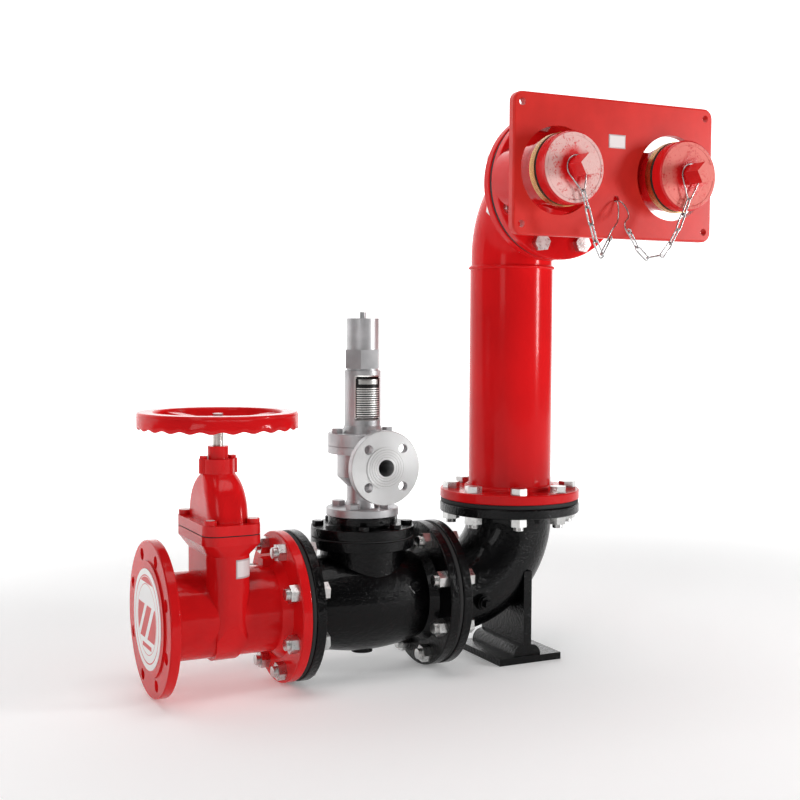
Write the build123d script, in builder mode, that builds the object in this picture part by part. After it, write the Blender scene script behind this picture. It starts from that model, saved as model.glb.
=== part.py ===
"""Fire department connection: two capped hose inlets in a wall panel feed a riser, a foot elbow, a swing check
valve that carries a spring relief valve, and a gate valve with a handwheel."""

import os
from math import asin, atan2, cos, degrees, radians, sin, sqrt

from build123d import *

os.makedirs("parts", exist_ok=True)

# Flanged pipe run, nominal bore 150, in mm
run_height = 145.0
flange_r = 142.5
flange_t = 19.0
flange_edge = 2.5
face_inset = 37.0
face_t = 3.0
hub_inset = 25.0
hub_length = 16.0
gasket_t = 3.0
bolt_edge = 22.5
bolt_count = 8
bolt_r = 10.0
bolt_hole_r = 11.0
end_hole_r = 11.5
bolt_flats = 30.0
bolt_head_h = 12.5
nut_h = 16.0
bolt_tail = 8.0
elbow_reach = 186.0
elbow_rise = 175.0
check_length = 298.0
gate_length = 267.0
bolt_circle_r = flange_r - bolt_edge
face_r = flange_r - face_inset
hub_r = bolt_circle_r - hub_inset
bore_r = hub_r - 20.0

# Fits
running_gap = 0.35
thread_gap = 0.05

# Gate valve, heights above the run axis
gate_barrel_r = hub_r - 14.0
gate_bore_r = gate_barrel_r - 11.0
wedge_r = gate_bore_r + 3.0
gate_neck_x = 40.0
gate_neck_y = wedge_r + 13.0
gate_neck_corner = 34.0
gate_house_root_x = 20.0
gate_house_taper_h = 40.0
gate_house_ease = 0.5
gate_flare_h = 22.0
gate_seam = flange_r + 12.5
gate_flange_bottom = gate_seam - 16.0
gate_flange_x = 54.0
gate_flange_y = gate_neck_y + 12.0
gate_flange_corner = 26.0
gate_pad_length = 30.0
gate_pad_width = 26.0
gate_pad_h = 14.0
bonnet_gasket_t = 2.0
bonnet_flange_t = 18.0
dome_x = 38.0
dome_y = wedge_r + 6.0
dome_corner = 29.0
dome_shoulder_h = 30.0
dome_crown_h = 58.0
dome_h = 84.0
dome_wall = 6.0
bonnet_neck_r = 30.0
bonnet_neck_h = 14.0
screw_x = 40.0
screw_y = gate_flange_y - 20.0
screw_boss_r = 11.5
screw_boss_h = 9.0
screw_r = 5.0
screw_head_r = 8.0
screw_head_h = 8.0
wedge_half_t = 18.0
wedge_gap = 0.6
wedge_boss_r = 24.0
wedge_boss_top = wedge_r + 13.0
wedge_lift = 2 * wedge_r
wedge_nut_r = 19.0
wedge_nut_h = 30.0
stem_thread_r = 13.0
stem_below_nut = 4.0
stem_collar_r = 19.0
stem_collar_h = 8.0
stem_r = 9.5
gland_t = 13.0
gland_lug_x = 27.5
gland_lug_r = 9.0
gland_top_r = 19.0
gland_top_h = 23.0
gland_bolt_r = 4.0
gland_bolt_flats = 13.0
gland_bolt_head_h = 5.5
gland_bolt_length = 22.0

# Handwheel
wheel_r = 147.0
wheel_rim_w = 30.0
wheel_rim_h = 25.0
wheel_rim_t = 7.0
wheel_top = 372.0
wheel_scallops = 30
wheel_scallop_r = 9.0
wheel_spokes = 3
wheel_spoke_w = 24.0
wheel_spoke_t = 13.0
wheel_spoke_angle = 4.0
wheel_hub_r = 27.0
wheel_hub_h = 20.0
wheel_hub_drop = 14.0
stem_square = 15.0
wheel_washer_r = 27.5
wheel_washer_t = 4.0
wheel_bolt_r = 5.0
wheel_bolt_flats = 17.0
wheel_bolt_head_h = 6.5
wheel_bolt_length = 20.0

# Card over the inlet flange
cover_card_r = face_r - 14.0
cover_card_t = 1.0

# Check valve, heights above the run axis
check_axis_from_right = 0.4815 * check_length
check_throat_r = hub_r - 14.0
check_belly_r = hub_r + 4.0
check_outlet_r = hub_r - 11.0
check_belly_from_right = 156.0
check_wall = 8.0
check_flange_r = 0.3356 * check_length
check_neck_r = check_flange_r - 18.0
check_neck_bore_r = check_neck_r - 14.0
check_seam = flange_r - 18.5
check_flange_bottom = check_seam - 20.0
check_boss_r = 21.0
check_boss_drop = check_belly_r + 5.0
cover_gasket_t = 2.0
cover_t = 19.0
cover_bolt_circle_r = check_flange_r - 14.0
cover_bolt_count = 8
cover_bolt_r = 6.0
cover_bolt_flats = 19.0
cover_bolt_head_h = 8.0
cover_bolt_length = 36.0
pad_r = cover_bolt_circle_r - 20.0
pad_h = 18.0
seat_bore_r = bore_r - 13.0
seat_from_right = 88.0
seat_ring_t = 12.0
seat_ring_stand = 2.0
clapper_r = seat_bore_r + 9.0
clapper_t = 14.0
clapper_swing_rise = clapper_r + 19.0
clapper_pin_back = 4.0
clapper_eye_r = 13.0
clapper_arm_t = 20.0
clapper_boss_r = 16.0
clapper_boss_t = 14.0
hinge_pin_r = 7.0
hinge_lug_t = 14.0
hinge_lug_r = 12.0

# Relief valve, nominal bore 32, heights above the run axis
relief_gasket_t = 2.0
relief_flange_r = 70.0
relief_flange_t = 15.0
relief_bolt_circle_r = 50.0
relief_bolt_count = 4
relief_bolt_r = 8.0
relief_bolt_hole_r = 9.0
relief_bolt_flats = 24.0
relief_bolt_head_h = 10.0
relief_bolt_length = 31.0
relief_bore_r = 16.0
relief_neck_r = 30.0
relief_chamber_rise = 75.0
relief_chamber_r = 49.0
relief_chamber_bore_r = 39.0
relief_body_rise = 120.0
relief_body_flange_t = 14.0
relief_mid_r = 67.0
relief_outlet_rise = 100.0
relief_outlet_y = 108.0
relief_outlet_neck_r = 31.0
relief_outlet_t = 16.0
relief_outlet_face_r = 39.0
relief_outlet_face_t = 2.0
relief_seat_r = 24.0
relief_seat_t = 14.0
relief_disc_r = 25.0
relief_disc_t = 12.0
relief_lift = 8.0
relief_spindle_r = 6.0
relief_bonnet_flange_t = 25.0
relief_flare_r = 41.0
relief_flare_h = 14.0
relief_housing_r = 35.0
relief_housing_bore_r = 28.0
relief_housing_h = 145.0
relief_housing_top_t = 14.0
relief_stud_circle_r = 53.0
relief_stud_r = 6.0
relief_stud_flats = 19.0
relief_stud_head_h = 9.0
relief_stud_length = 38.0
spring_wire_r = 3.5
spring_mean_r = 21.0
spring_turns = 7
spring_plate_r = 26.0
spring_plate_t = 8.0
lower_plate_rise = 12.0
adjuster_r = 12.0
adjuster_below = 4.0
adjuster_length = 54.0
lock_nut_h = 9.0
lock_nut_flats = 34.0
cap_gap_h = 4.0
cap_flats = 62.0
cap_flats_h = 36.0
cap_r = 31.0
cap_h = 100.0
cap_wall = 7.0
cap_stub_r = 6.0
cap_stub_h = 12.0

# Foot elbow
elbow_bend = 145.0
elbow_tube_r = hub_r - 9.0
foot_x = 143.0
foot_y = 178.0
foot_t = 14.0
pedestal_x = -5.0
pedestal_t = 18.0
pedestal_y = elbow_tube_r - 2.0
pedestal_flare = 22.0
pedestal_top = 40.0
drain_back = 111.0
drain_drop = 12.0
drain_boss_r = 16.0
drain_boss_y = elbow_tube_r + 12.0
plug_r = 10.0
plug_length = 22.0
plug_head_r = 13.0
plug_head_t = 4.0
plug_square = 12.0
plug_square_h = 9.0

# Riser and upper bend
pipe_r = hub_r - 11.0
pipe_wall = 6.0
inlet_rise = 800.0
bend_pipe_r = hub_r - 13.0
bend_radius = 130.0
bend_straight = 22.0
weld_w = 8.0
bead_r = 2.5

# Inlet branch
panel_w = 428.0
panel_h = 244.0
inlet_x = 0.285 * panel_w
branch_hub_r = hub_r - 11.0
branch_wall = 9.0
branch_depth = 80.0
branch_half_x = inlet_x + 36.0
branch_half_z = 62.0
arm_r = 54.0
arm_bore_r = 44.0
arm_end_y = 335.0
arm_thread_r = 50.0
arm_thread_length = 15.0
web_t = 14.0
web_h = 76.0
web_gap = 10.0
panel_bolt_pitch = 44.0
panel_bolt_r = 5.0
panel_bolt_hole_r = 5.5
panel_bolt_flats = 17.0
panel_bolt_head_h = 6.5
panel_bolt_length = 28.0

# Wall panel
panel_corner = 18.0
panel_depth = 15.0
panel_wall = 6.0
panel_front_y = 355.0
panel_above_inlets = 9.0
panel_hole_r = 0.63 * inlet_x
panel_collar = 4.5
panel_fix_x = panel_w - 34.0
panel_fix_z = panel_h - 37.0
panel_fix_hole_r = 6.5
panel_boss_r = 13.0
panel_edge = 4.0
chain_hole_r = 6.0
chain_hole_drop = 52.0

# Hose couplings and caps, depths along the inlet axis
coupling_r = 58.0
coupling_length = 25.0
ring_r = 63.5
ring_t = 14.0
ring_lip_r = 49.0
ring_lip_t = 7.0
ring_groove_r = 56.0
lug_count = 3
lug_w = 18.0
lug_t = 5.0
lug_gap = 0.8
washer_r = 62.0
washer_t = 5.0
cap_disc_r = 62.5
cap_disc_t = 24.0
cap_disc_edge = 3.0
cap_hollow = 15.0
spigot_wall = 7.0
cap_neck_r = 16.5
cap_neck_h = 11.0
cap_key_r = 19.5
cap_key_h = 37.0

# Chains and their wires
wire_r = 1.3
link_wire_r = 1.5
link_w = 11.5
link_pitch = 0.246 * inlet_x
hook_gap = 0.2
chain_stand = 7.5
loop_r = 20.0
eye_r = 4.0
hanger_bow_x = 11.0
hanger_bow_y = 22.0
hanger_bow_rise = 6.0
hanger_lip = 2.0
hanger_tail = 14.0
hanger_back = 4.0
left_start = (12.0, -36.0)
left_headings = (-73.0, -73.0, -72.0, -62.0, 60.0)
right_start = (-4.0, -40.0)
right_headings = (-113.0, -113.0, -122.0, -130.0, -170.0, 140.0, 124.0)

# Stations along the run and heights of the axes
run_axis = Axis((0, 0, run_height), (1, 0, 0))
flange_back = face_t + flange_t
elbow_face_x = -elbow_reach
check_right_x = elbow_face_x - gasket_t
check_left_x = check_right_x - check_length
gate_right_x = check_left_x - gasket_t
gate_left_x = gate_right_x - gate_length
gate_x = (gate_left_x + gate_right_x) / 2
check_x = check_right_x - check_axis_from_right
joint_stack = 2 * flange_back + gasket_t
half_pitch = 180 / bolt_count
gate_axis = Axis((gate_x, 0, 0), (0, 0, 1))
relief_axis = Axis((check_x, 0, 0), (0, 0, 1))
riser_face_z = run_height + elbow_rise
inlet_z = run_height + inlet_rise
panel_z = inlet_z + panel_above_inlets
bend_end_y = bend_radius
branch_face_y = bend_end_y + flange_back + gasket_t


def facing(x, y, z, normal):
    """Plane at a point, with the given normal, whose second axis is upright, or across the run if it is level."""
    up = Vector(0, 1, 0) if abs(normal[2]) > 0.5 else Vector(0, 0, 1)
    return Plane(origin=(x, y, z), x_dir=up.cross(Vector(*normal)), z_dir=normal)


def rim_edges(part, radius):
    """Circular edges of that radius on a part."""
    return part.edges().filter_by(GeomType.CIRCLE).filter_by(lambda edge: abs(edge.radius - radius) < 0.001)


def hex_bolt(radius, length, flats, head_h):
    """Hexagon bolt with its bearing face at height 0, head above and shank below."""
    with BuildPart() as bolt:
        with BuildSketch(Plane.XY):
            RegularPolygon(flats / 2, 6, major_radius=False)
        extrude(amount=head_h)
        with BuildSketch(Plane.XY):
            Circle(radius)
        extrude(amount=-length)
    return bolt.part


def hex_nut(radius, flats, height):
    """Hexagon nut with its bearing face at height 0."""
    with BuildPart() as nut:
        with BuildSketch(Plane.XY):
            RegularPolygon(flats / 2, 6, major_radius=False)
            Circle(radius + thread_gap, mode=Mode.SUBTRACT)
        extrude(amount=height)
    return nut.part


def wedge_house():
    """Upright neck that runs down round the wedge and narrows towards the foot of the barrel."""
    with BuildPart() as house:
        with BuildSketch(Plane.XY.offset(run_height - gate_neck_y)):
            with Locations((gate_x, 0)):
                RectangleRounded(2 * gate_neck_x, 2 * gate_neck_y, gate_neck_corner)
        extrude(amount=gate_neck_y + gate_flange_bottom)
        ease_x = gate_neck_x + gate_house_ease
        ease_y = gate_neck_y + gate_house_ease
        with BuildSketch(Plane.YZ.offset(gate_x - ease_x)):
            with Locations((0, run_height)):
                Circle(ease_y)
                Rectangle(2 * ease_y, 2 * gate_flange_bottom, align=(Align.CENTER, Align.MIN))
        extrude(amount=2 * ease_x, mode=Mode.INTERSECT)
        with BuildSketch(Plane.XZ.offset(-ease_y)):
            with BuildLine():
                Polyline(
                    (gate_x - ease_x, run_height + 2 * gate_flange_bottom),
                    (gate_x - ease_x, run_height + gate_house_taper_h),
                    (gate_x - gate_house_root_x, run_height - ease_y),
                    (gate_x + gate_house_root_x, run_height - ease_y),
                    (gate_x + ease_x, run_height + gate_house_taper_h),
                    (gate_x + ease_x, run_height + 2 * gate_flange_bottom),
                    close=True,
                )
            make_face()
        extrude(amount=2 * ease_y, mode=Mode.INTERSECT)
    return house.part


# Gate valve body: flanged barrel, upright neck and oval top flange
neck_z = run_height + gate_flange_bottom
seam_z = run_height + gate_seam
wedge_slot_r = wedge_r + 2 * wedge_gap
wedge_slot_x = wedge_half_t + wedge_gap
wedge_way_r = wedge_boss_r + 2 * wedge_gap
with BuildPart() as gate_valve_body:
    with BuildSketch(Plane.XZ):
        with BuildLine():
            Polyline(
                (gate_left_x, run_height),
                (gate_left_x, run_height + face_r),
                (gate_left_x + face_t, run_height + face_r),
                (gate_left_x + face_t, run_height + flange_r),
                (gate_left_x + flange_back, run_height + flange_r),
                (gate_left_x + flange_back, run_height + hub_r),
                (gate_left_x + flange_back + hub_length, run_height + gate_barrel_r),
                (gate_right_x - flange_back - hub_length, run_height + gate_barrel_r),
                (gate_right_x - flange_back, run_height + hub_r),
                (gate_right_x - flange_back, run_height + flange_r),
                (gate_right_x - face_t, run_height + flange_r),
                (gate_right_x - face_t, run_height + face_r),
                (gate_right_x, run_height + face_r),
                (gate_right_x, run_height),
                close=True,
            )
        make_face()
    revolve(axis=run_axis)
    add(wedge_house())
    with BuildSketch(Plane.XY.offset(neck_z - gate_flare_h)):
        with Locations((gate_x, 0)):
            RectangleRounded(2 * gate_neck_x, 2 * gate_neck_y, gate_neck_corner)
    with BuildSketch(Plane.XY.offset(neck_z)):
        with Locations((gate_x, 0)):
            RectangleRounded(2 * gate_flange_x, 2 * gate_flange_y, gate_flange_corner)
    loft()
    with BuildSketch(Plane.XY.offset(neck_z)):
        with Locations((gate_x, 0)):
            RectangleRounded(2 * gate_flange_x, 2 * gate_flange_y, gate_flange_corner)
    extrude(amount=gate_seam - gate_flange_bottom)
    with Locations((gate_right_x - flange_back - gate_pad_length / 2, 0, run_height + gate_barrel_r)):
        Box(gate_pad_length, gate_pad_width, 2 * gate_pad_h)
    with BuildSketch(Plane.YZ.offset(gate_left_x)):
        with Locations((0, run_height)):
            Circle(gate_bore_r)
    extrude(amount=gate_length, mode=Mode.SUBTRACT)
    with BuildSketch(Plane.YZ.offset(gate_x)):
        with Locations((0, run_height + wedge_lift / 2)):
            SlotCenterToCenter(wedge_lift, 2 * wedge_slot_r, rotation=90)
    extrude(amount=wedge_slot_x, both=True, mode=Mode.SUBTRACT)
    with BuildSketch(Plane.XY.offset(run_height)):
        with Locations((gate_x, 0)):
            Circle(wedge_way_r)
    extrude(amount=gate_seam, mode=Mode.SUBTRACT)
    with BuildSketch(Plane.YZ.offset(gate_left_x)):
        with Locations((0, run_height)):
            with PolarLocations(bolt_circle_r, bolt_count, half_pitch):
                Circle(end_hole_r)
    extrude(amount=flange_back, mode=Mode.SUBTRACT)
    with BuildSketch(Plane.YZ.offset(gate_right_x)):
        with Locations((0, run_height)):
            with PolarLocations(bolt_circle_r, bolt_count, half_pitch):
                Circle(bolt_hole_r)
    extrude(amount=-flange_back, mode=Mode.SUBTRACT)
    with BuildSketch(Plane.XY.offset(seam_z)):
        with Locations((gate_x, 0)):
            with GridLocations(2 * screw_x, 2 * screw_y, 2, 2):
                Circle(screw_r + thread_gap)
    extrude(amount=-(gate_seam - gate_flange_bottom), mode=Mode.SUBTRACT)
    fillet(rim_edges(gate_valve_body, flange_r), flange_edge)
gate_valve_body.part.label = "gate_valve_body"
export_step(gate_valve_body.part, "parts/gate_valve_body.step")

# Gasket in the bonnet joint
with BuildPart() as bonnet_gasket:
    with BuildSketch(Plane.XY.offset(seam_z)):
        with Locations((gate_x, 0)):
            RectangleRounded(2 * gate_flange_x - 2, 2 * gate_flange_y - 2, gate_flange_corner - 1)
            Rectangle(2 * wedge_slot_x, 2 * wedge_slot_r, mode=Mode.SUBTRACT)
            Circle(wedge_way_r, mode=Mode.SUBTRACT)
            with GridLocations(2 * screw_x, 2 * screw_y, 2, 2):
                Circle(screw_r + thread_gap, mode=Mode.SUBTRACT)
    extrude(amount=bonnet_gasket_t)
bonnet_gasket.part.label = "bonnet_gasket"
export_step(bonnet_gasket.part, "parts/bonnet_gasket.step")

# Bonnet: oval flange with screw bosses, domed house for the raised wedge, round neck
bonnet_z = seam_z + bonnet_gasket_t
dome_z = bonnet_z + bonnet_flange_t
crown_z = dome_z + dome_h
neck_top_z = crown_z + bonnet_neck_h
collar_z = neck_top_z - stem_collar_h - running_gap
with BuildPart() as gate_valve_bonnet:
    with BuildSketch(Plane.XY.offset(bonnet_z)):
        with Locations((gate_x, 0)):
            RectangleRounded(2 * gate_flange_x, 2 * gate_flange_y, gate_flange_corner)
    extrude(amount=bonnet_flange_t)
    with BuildSketch(Plane.XY.offset(dome_z)):
        with Locations((gate_x, 0)):
            with GridLocations(2 * screw_x, 2 * screw_y, 2, 2):
                Circle(screw_boss_r)
    extrude(amount=screw_boss_h)
    with BuildSketch(Plane.XY.offset(bonnet_z)):
        with Locations((gate_x, 0)):
            RectangleRounded(2 * dome_x, 2 * dome_y, dome_corner)
    with BuildSketch(Plane.XY.offset(dome_z + dome_shoulder_h)):
        with Locations((gate_x, 0)):
            RectangleRounded(2 * dome_x, 1.9 * dome_y, dome_corner)
    with BuildSketch(Plane.XY.offset(dome_z + dome_crown_h)):
        with Locations((gate_x, 0)):
            RectangleRounded(1.94 * dome_x, 1.5 * dome_y, dome_corner)
    with BuildSketch(Plane.XY.offset(crown_z)):
        with Locations((gate_x, 0)):
            RectangleRounded(2 * bonnet_neck_r, 2 * bonnet_neck_r, 0.95 * bonnet_neck_r)
    loft()
    with BuildSketch(Plane.XY.offset(crown_z)):
        with Locations((gate_x, 0)):
            Circle(bonnet_neck_r)
            with GridLocations(2 * gland_lug_x, 0, 2, 1):
                Circle(gland_lug_r)
    extrude(amount=bonnet_neck_h)
    with BuildSketch(Plane.YZ.offset(gate_x)):
        with Locations((0, run_height + wedge_lift)):
            Circle(wedge_slot_r)
    extrude(amount=wedge_slot_x, both=True, mode=Mode.SUBTRACT)
    with BuildSketch(Plane.XY.offset(bonnet_z)):
        with Locations((gate_x, 0)):
            Circle(wedge_way_r)
    extrude(amount=crown_z - bonnet_z - 2 * dome_wall, mode=Mode.SUBTRACT)
    with BuildSketch(Plane.XY.offset(bonnet_z)):
        with Locations((gate_x, 0)):
            Circle(stem_thread_r + running_gap)
    extrude(amount=neck_top_z - bonnet_z, mode=Mode.SUBTRACT)
    with BuildSketch(Plane.XY.offset(neck_top_z)):
        with Locations((gate_x, 0)):
            Circle(stem_collar_r + running_gap)
    extrude(amount=-(stem_collar_h + 2 * running_gap), mode=Mode.SUBTRACT)
    with BuildSketch(Plane.XY.offset(bonnet_z)):
        with Locations((gate_x, 0)):
            with GridLocations(2 * screw_x, 2 * screw_y, 2, 2):
                Circle(screw_r + thread_gap)
    extrude(amount=bonnet_flange_t + screw_boss_h, mode=Mode.SUBTRACT)
    with BuildSketch(Plane.XY.offset(dome_z + screw_boss_h)):
        with Locations((gate_x, 0)):
            with GridLocations(2 * screw_x, 2 * screw_y, 2, 2):
                Circle(screw_head_r + 2 * thread_gap)
    extrude(amount=-screw_head_h, mode=Mode.SUBTRACT)
    with BuildSketch(Plane.XY.offset(neck_top_z)):
        with Locations((gate_x, 0)):
            with GridLocations(2 * gland_lug_x, 0, 2, 1):
                Circle(gland_bolt_r + thread_gap)
    extrude(amount=-(gland_bolt_length - gland_t + 2), mode=Mode.SUBTRACT)
gate_valve_bonnet.part.label = "gate_valve_bonnet"
export_step(gate_valve_bonnet.part, "parts/gate_valve_bonnet.step")

# Sunk cap screws of the bonnet, their sockets filled level
with BuildPart() as bonnet_screws:
    with BuildSketch(Plane.XY.offset(dome_z + screw_boss_h)):
        with Locations((gate_x, 0)):
            with GridLocations(2 * screw_x, 2 * screw_y, 2, 2):
                Circle(screw_head_r)
    extrude(amount=-screw_head_h)
    with BuildSketch(Plane.XY.offset(dome_z + screw_boss_h - screw_head_h)):
        with Locations((gate_x, 0)):
            with GridLocations(2 * screw_x, 2 * screw_y, 2, 2):
                Circle(screw_r)
    extrude(amount=-(bonnet_flange_t + screw_boss_h - screw_head_h + gate_seam - gate_flange_bottom - 2))
bonnet_screws.part.label = "bonnet_screws"
export_step(bonnet_screws.part, "parts/bonnet_screws.step")

# Wedge, shut: a disc across the bore with an upright barrel for nut and stem
boss_top_z = run_height + wedge_boss_top
with BuildPart() as gate_wedge:
    with BuildSketch(Plane.YZ.offset(gate_x)):
        with Locations((0, run_height)):
            Circle(wedge_r)
    extrude(amount=wedge_half_t, both=True)
    with BuildSketch(Plane.XY.offset(run_height - 0.8 * wedge_r)):
        with Locations((gate_x, 0)):
            Circle(wedge_boss_r)
    extrude(amount=0.8 * wedge_r + wedge_boss_top)
    with BuildSketch(Plane.XY.offset(boss_top_z)):
        with Locations((gate_x, 0)):
            Circle(wedge_nut_r + thread_gap)
    extrude(amount=-wedge_nut_h, mode=Mode.SUBTRACT)
    with BuildSketch(Plane.XY.offset(boss_top_z)):
        with Locations((gate_x, 0)):
            Circle(stem_thread_r + 4 * running_gap)
    extrude(amount=-(wedge_boss_top + 2 * wedge_r), mode=Mode.SUBTRACT)
gate_wedge.part.label = "gate_wedge"
export_step(gate_wedge.part, "parts/gate_wedge.step")

# Stem nut held in the wedge
with BuildPart() as wedge_nut:
    with BuildSketch(Plane.XY.offset(boss_top_z)):
        with Locations((gate_x, 0)):
            Circle(wedge_nut_r)
            Circle(stem_thread_r + running_gap, mode=Mode.SUBTRACT)
    extrude(amount=-wedge_nut_h)
wedge_nut.part.label = "wedge_nut"
export_step(wedge_nut.part, "parts/wedge_nut.step")

# Stem: thread below, collar held by the gland, square under the handwheel
hub_top_z = run_height + wheel_top - wheel_hub_drop
hub_bottom_z = hub_top_z - wheel_hub_h
stem_bottom_z = boss_top_z - wedge_nut_h - stem_below_nut
with BuildPart() as gate_stem:
    with BuildSketch(Plane.XZ):
        with BuildLine():
            Polyline(
                (gate_x, stem_bottom_z),
                (gate_x + stem_thread_r, stem_bottom_z),
                (gate_x + stem_thread_r, collar_z),
                (gate_x + stem_collar_r, collar_z),
                (gate_x + stem_collar_r, collar_z + stem_collar_h),
                (gate_x + stem_r, collar_z + stem_collar_h),
                (gate_x + stem_r, hub_bottom_z),
                (gate_x, hub_bottom_z),
                close=True,
            )
        make_face()
    revolve(axis=gate_axis)
    with BuildSketch(Plane.XY.offset(hub_bottom_z)):
        with Locations((gate_x, 0)):
            Rectangle(stem_square, stem_square)
    extrude(amount=wheel_hub_h - 1)
    with BuildSketch(Plane.XY.offset(hub_top_z)):
        with Locations((gate_x, 0)):
            Circle(wheel_bolt_r + thread_gap)
    extrude(amount=-(wheel_bolt_length - wheel_washer_t + 1), mode=Mode.SUBTRACT)
gate_stem.part.label = "gate_stem"
export_step(gate_stem.part, "parts/gate_stem.step")

# Gland over the stem collar
with BuildPart() as stem_gland:
    with BuildSketch(Plane.XY.offset(neck_top_z)):
        with Locations((gate_x, 0)):
            Circle(bonnet_neck_r)
            with GridLocations(2 * gland_lug_x, 0, 2, 1):
                Circle(gland_lug_r)
    extrude(amount=gland_t)
    with BuildSketch(Plane.XY.offset(neck_top_z + gland_t)):
        with Locations((gate_x, 0)):
            Circle(gland_top_r)
    extrude(amount=gland_top_h)
    with BuildSketch(Plane.XY.offset(neck_top_z)):
        with Locations((gate_x, 0)):
            Circle(stem_r + running_gap)
            with GridLocations(2 * gland_lug_x, 0, 2, 1):
                Circle(gland_bolt_r + thread_gap)
    extrude(amount=gland_t + gland_top_h, mode=Mode.SUBTRACT)
stem_gland.part.label = "stem_gland"
export_step(stem_gland.part, "parts/stem_gland.step")

with BuildPart() as gland_bolts:
    with Locations((gate_x, 0, neck_top_z + gland_t)):
        with GridLocations(2 * gland_lug_x, 0, 2, 1):
            add(hex_bolt(gland_bolt_r, gland_bolt_length, gland_bolt_flats, gland_bolt_head_h))
gland_bolts.part.label = "gland_bolts"
export_step(gland_bolts.part, "parts/gland_bolts.step")

# Handwheel: channel rim with a scalloped skirt, three dished spokes, hub with a square
rim_top_z = run_height + wheel_top
rim_in_r = wheel_r - wheel_rim_w
spoke_run = rim_in_r + wheel_rim_t - 0.5 * wheel_hub_r
spoke_low_z = hub_top_z - wheel_hub_h / 2
spoke_high_z = rim_top_z - 0.4 * wheel_rim_h
spoke_tilt = degrees(atan2(spoke_high_z - spoke_low_z, spoke_run))
with BuildPart() as handwheel:
    with BuildSketch(Plane.XZ):
        with BuildLine():
            Polyline(
                (gate_x + rim_in_r, rim_top_z),
                (gate_x + wheel_r, rim_top_z),
                (gate_x + wheel_r, rim_top_z - wheel_rim_h),
                (gate_x + wheel_r - wheel_rim_t, rim_top_z - wheel_rim_h),
                (gate_x + wheel_r - wheel_rim_t, rim_top_z - wheel_rim_t),
                (gate_x + rim_in_r + wheel_rim_t, rim_top_z - wheel_rim_t),
                (gate_x + rim_in_r + wheel_rim_t, rim_top_z - 0.8 * wheel_rim_h),
                (gate_x + rim_in_r, rim_top_z - 0.8 * wheel_rim_h),
                close=True,
            )
        make_face()
    revolve(axis=gate_axis)
    fillet(handwheel.edges().group_by(Axis.Z)[-1], 0.6 * wheel_rim_t)
    with Locations((gate_x, 0, rim_top_z - wheel_rim_h - 0.25 * wheel_scallop_r)):
        with PolarLocations(wheel_r - wheel_rim_t / 2, wheel_scallops):
            Cylinder(wheel_scallop_r, 3 * wheel_rim_t, rotation=(0, 90, 0), mode=Mode.SUBTRACT)
    with Locations((gate_x, 0, (spoke_low_z + spoke_high_z) / 2)):
        with PolarLocations(0.5 * wheel_hub_r + spoke_run / 2, wheel_spokes, wheel_spoke_angle):
            Box(spoke_run, wheel_spoke_w, wheel_spoke_t, rotation=(0, -spoke_tilt, 0))
    with BuildSketch(Plane.XY.offset(hub_bottom_z)):
        with Locations((gate_x, 0)):
            Circle(wheel_hub_r)
    extrude(amount=wheel_hub_h)
    with BuildSketch(Plane.XY.offset(hub_bottom_z)):
        with Locations((gate_x, 0)):
            Rectangle(stem_square + 2 * thread_gap, stem_square + 2 * thread_gap)
    extrude(amount=wheel_hub_h, mode=Mode.SUBTRACT)
handwheel.part.label = "handwheel"
export_step(handwheel.part, "parts/handwheel.step")

with BuildPart() as handwheel_washer:
    with BuildSketch(Plane.XY.offset(hub_top_z)):
        with Locations((gate_x, 0)):
            Circle(wheel_washer_r)
            Circle(wheel_bolt_r + thread_gap, mode=Mode.SUBTRACT)
    extrude(amount=wheel_washer_t)
handwheel_washer.part.label = "handwheel_washer"
export_step(handwheel_washer.part, "parts/handwheel_washer.step")

with BuildPart() as handwheel_bolt:
    with Locations((gate_x, 0, hub_top_z + wheel_washer_t)):
        add(hex_bolt(wheel_bolt_r, wheel_bolt_length, wheel_bolt_flats, wheel_bolt_head_h))
handwheel_bolt.part.label = "handwheel_bolt"
export_step(handwheel_bolt.part, "parts/handwheel_bolt.step")

# Card stuck over the bore of the open end
with BuildPart() as inlet_cover:
    with BuildSketch(Plane.YZ.offset(gate_left_x)):
        with Locations((0, run_height)):
            Circle(cover_card_r)
    extrude(amount=-cover_card_t)
inlet_cover.part.label = "inlet_cover"
export_step(inlet_cover.part, "parts/inlet_cover.step")

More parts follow.
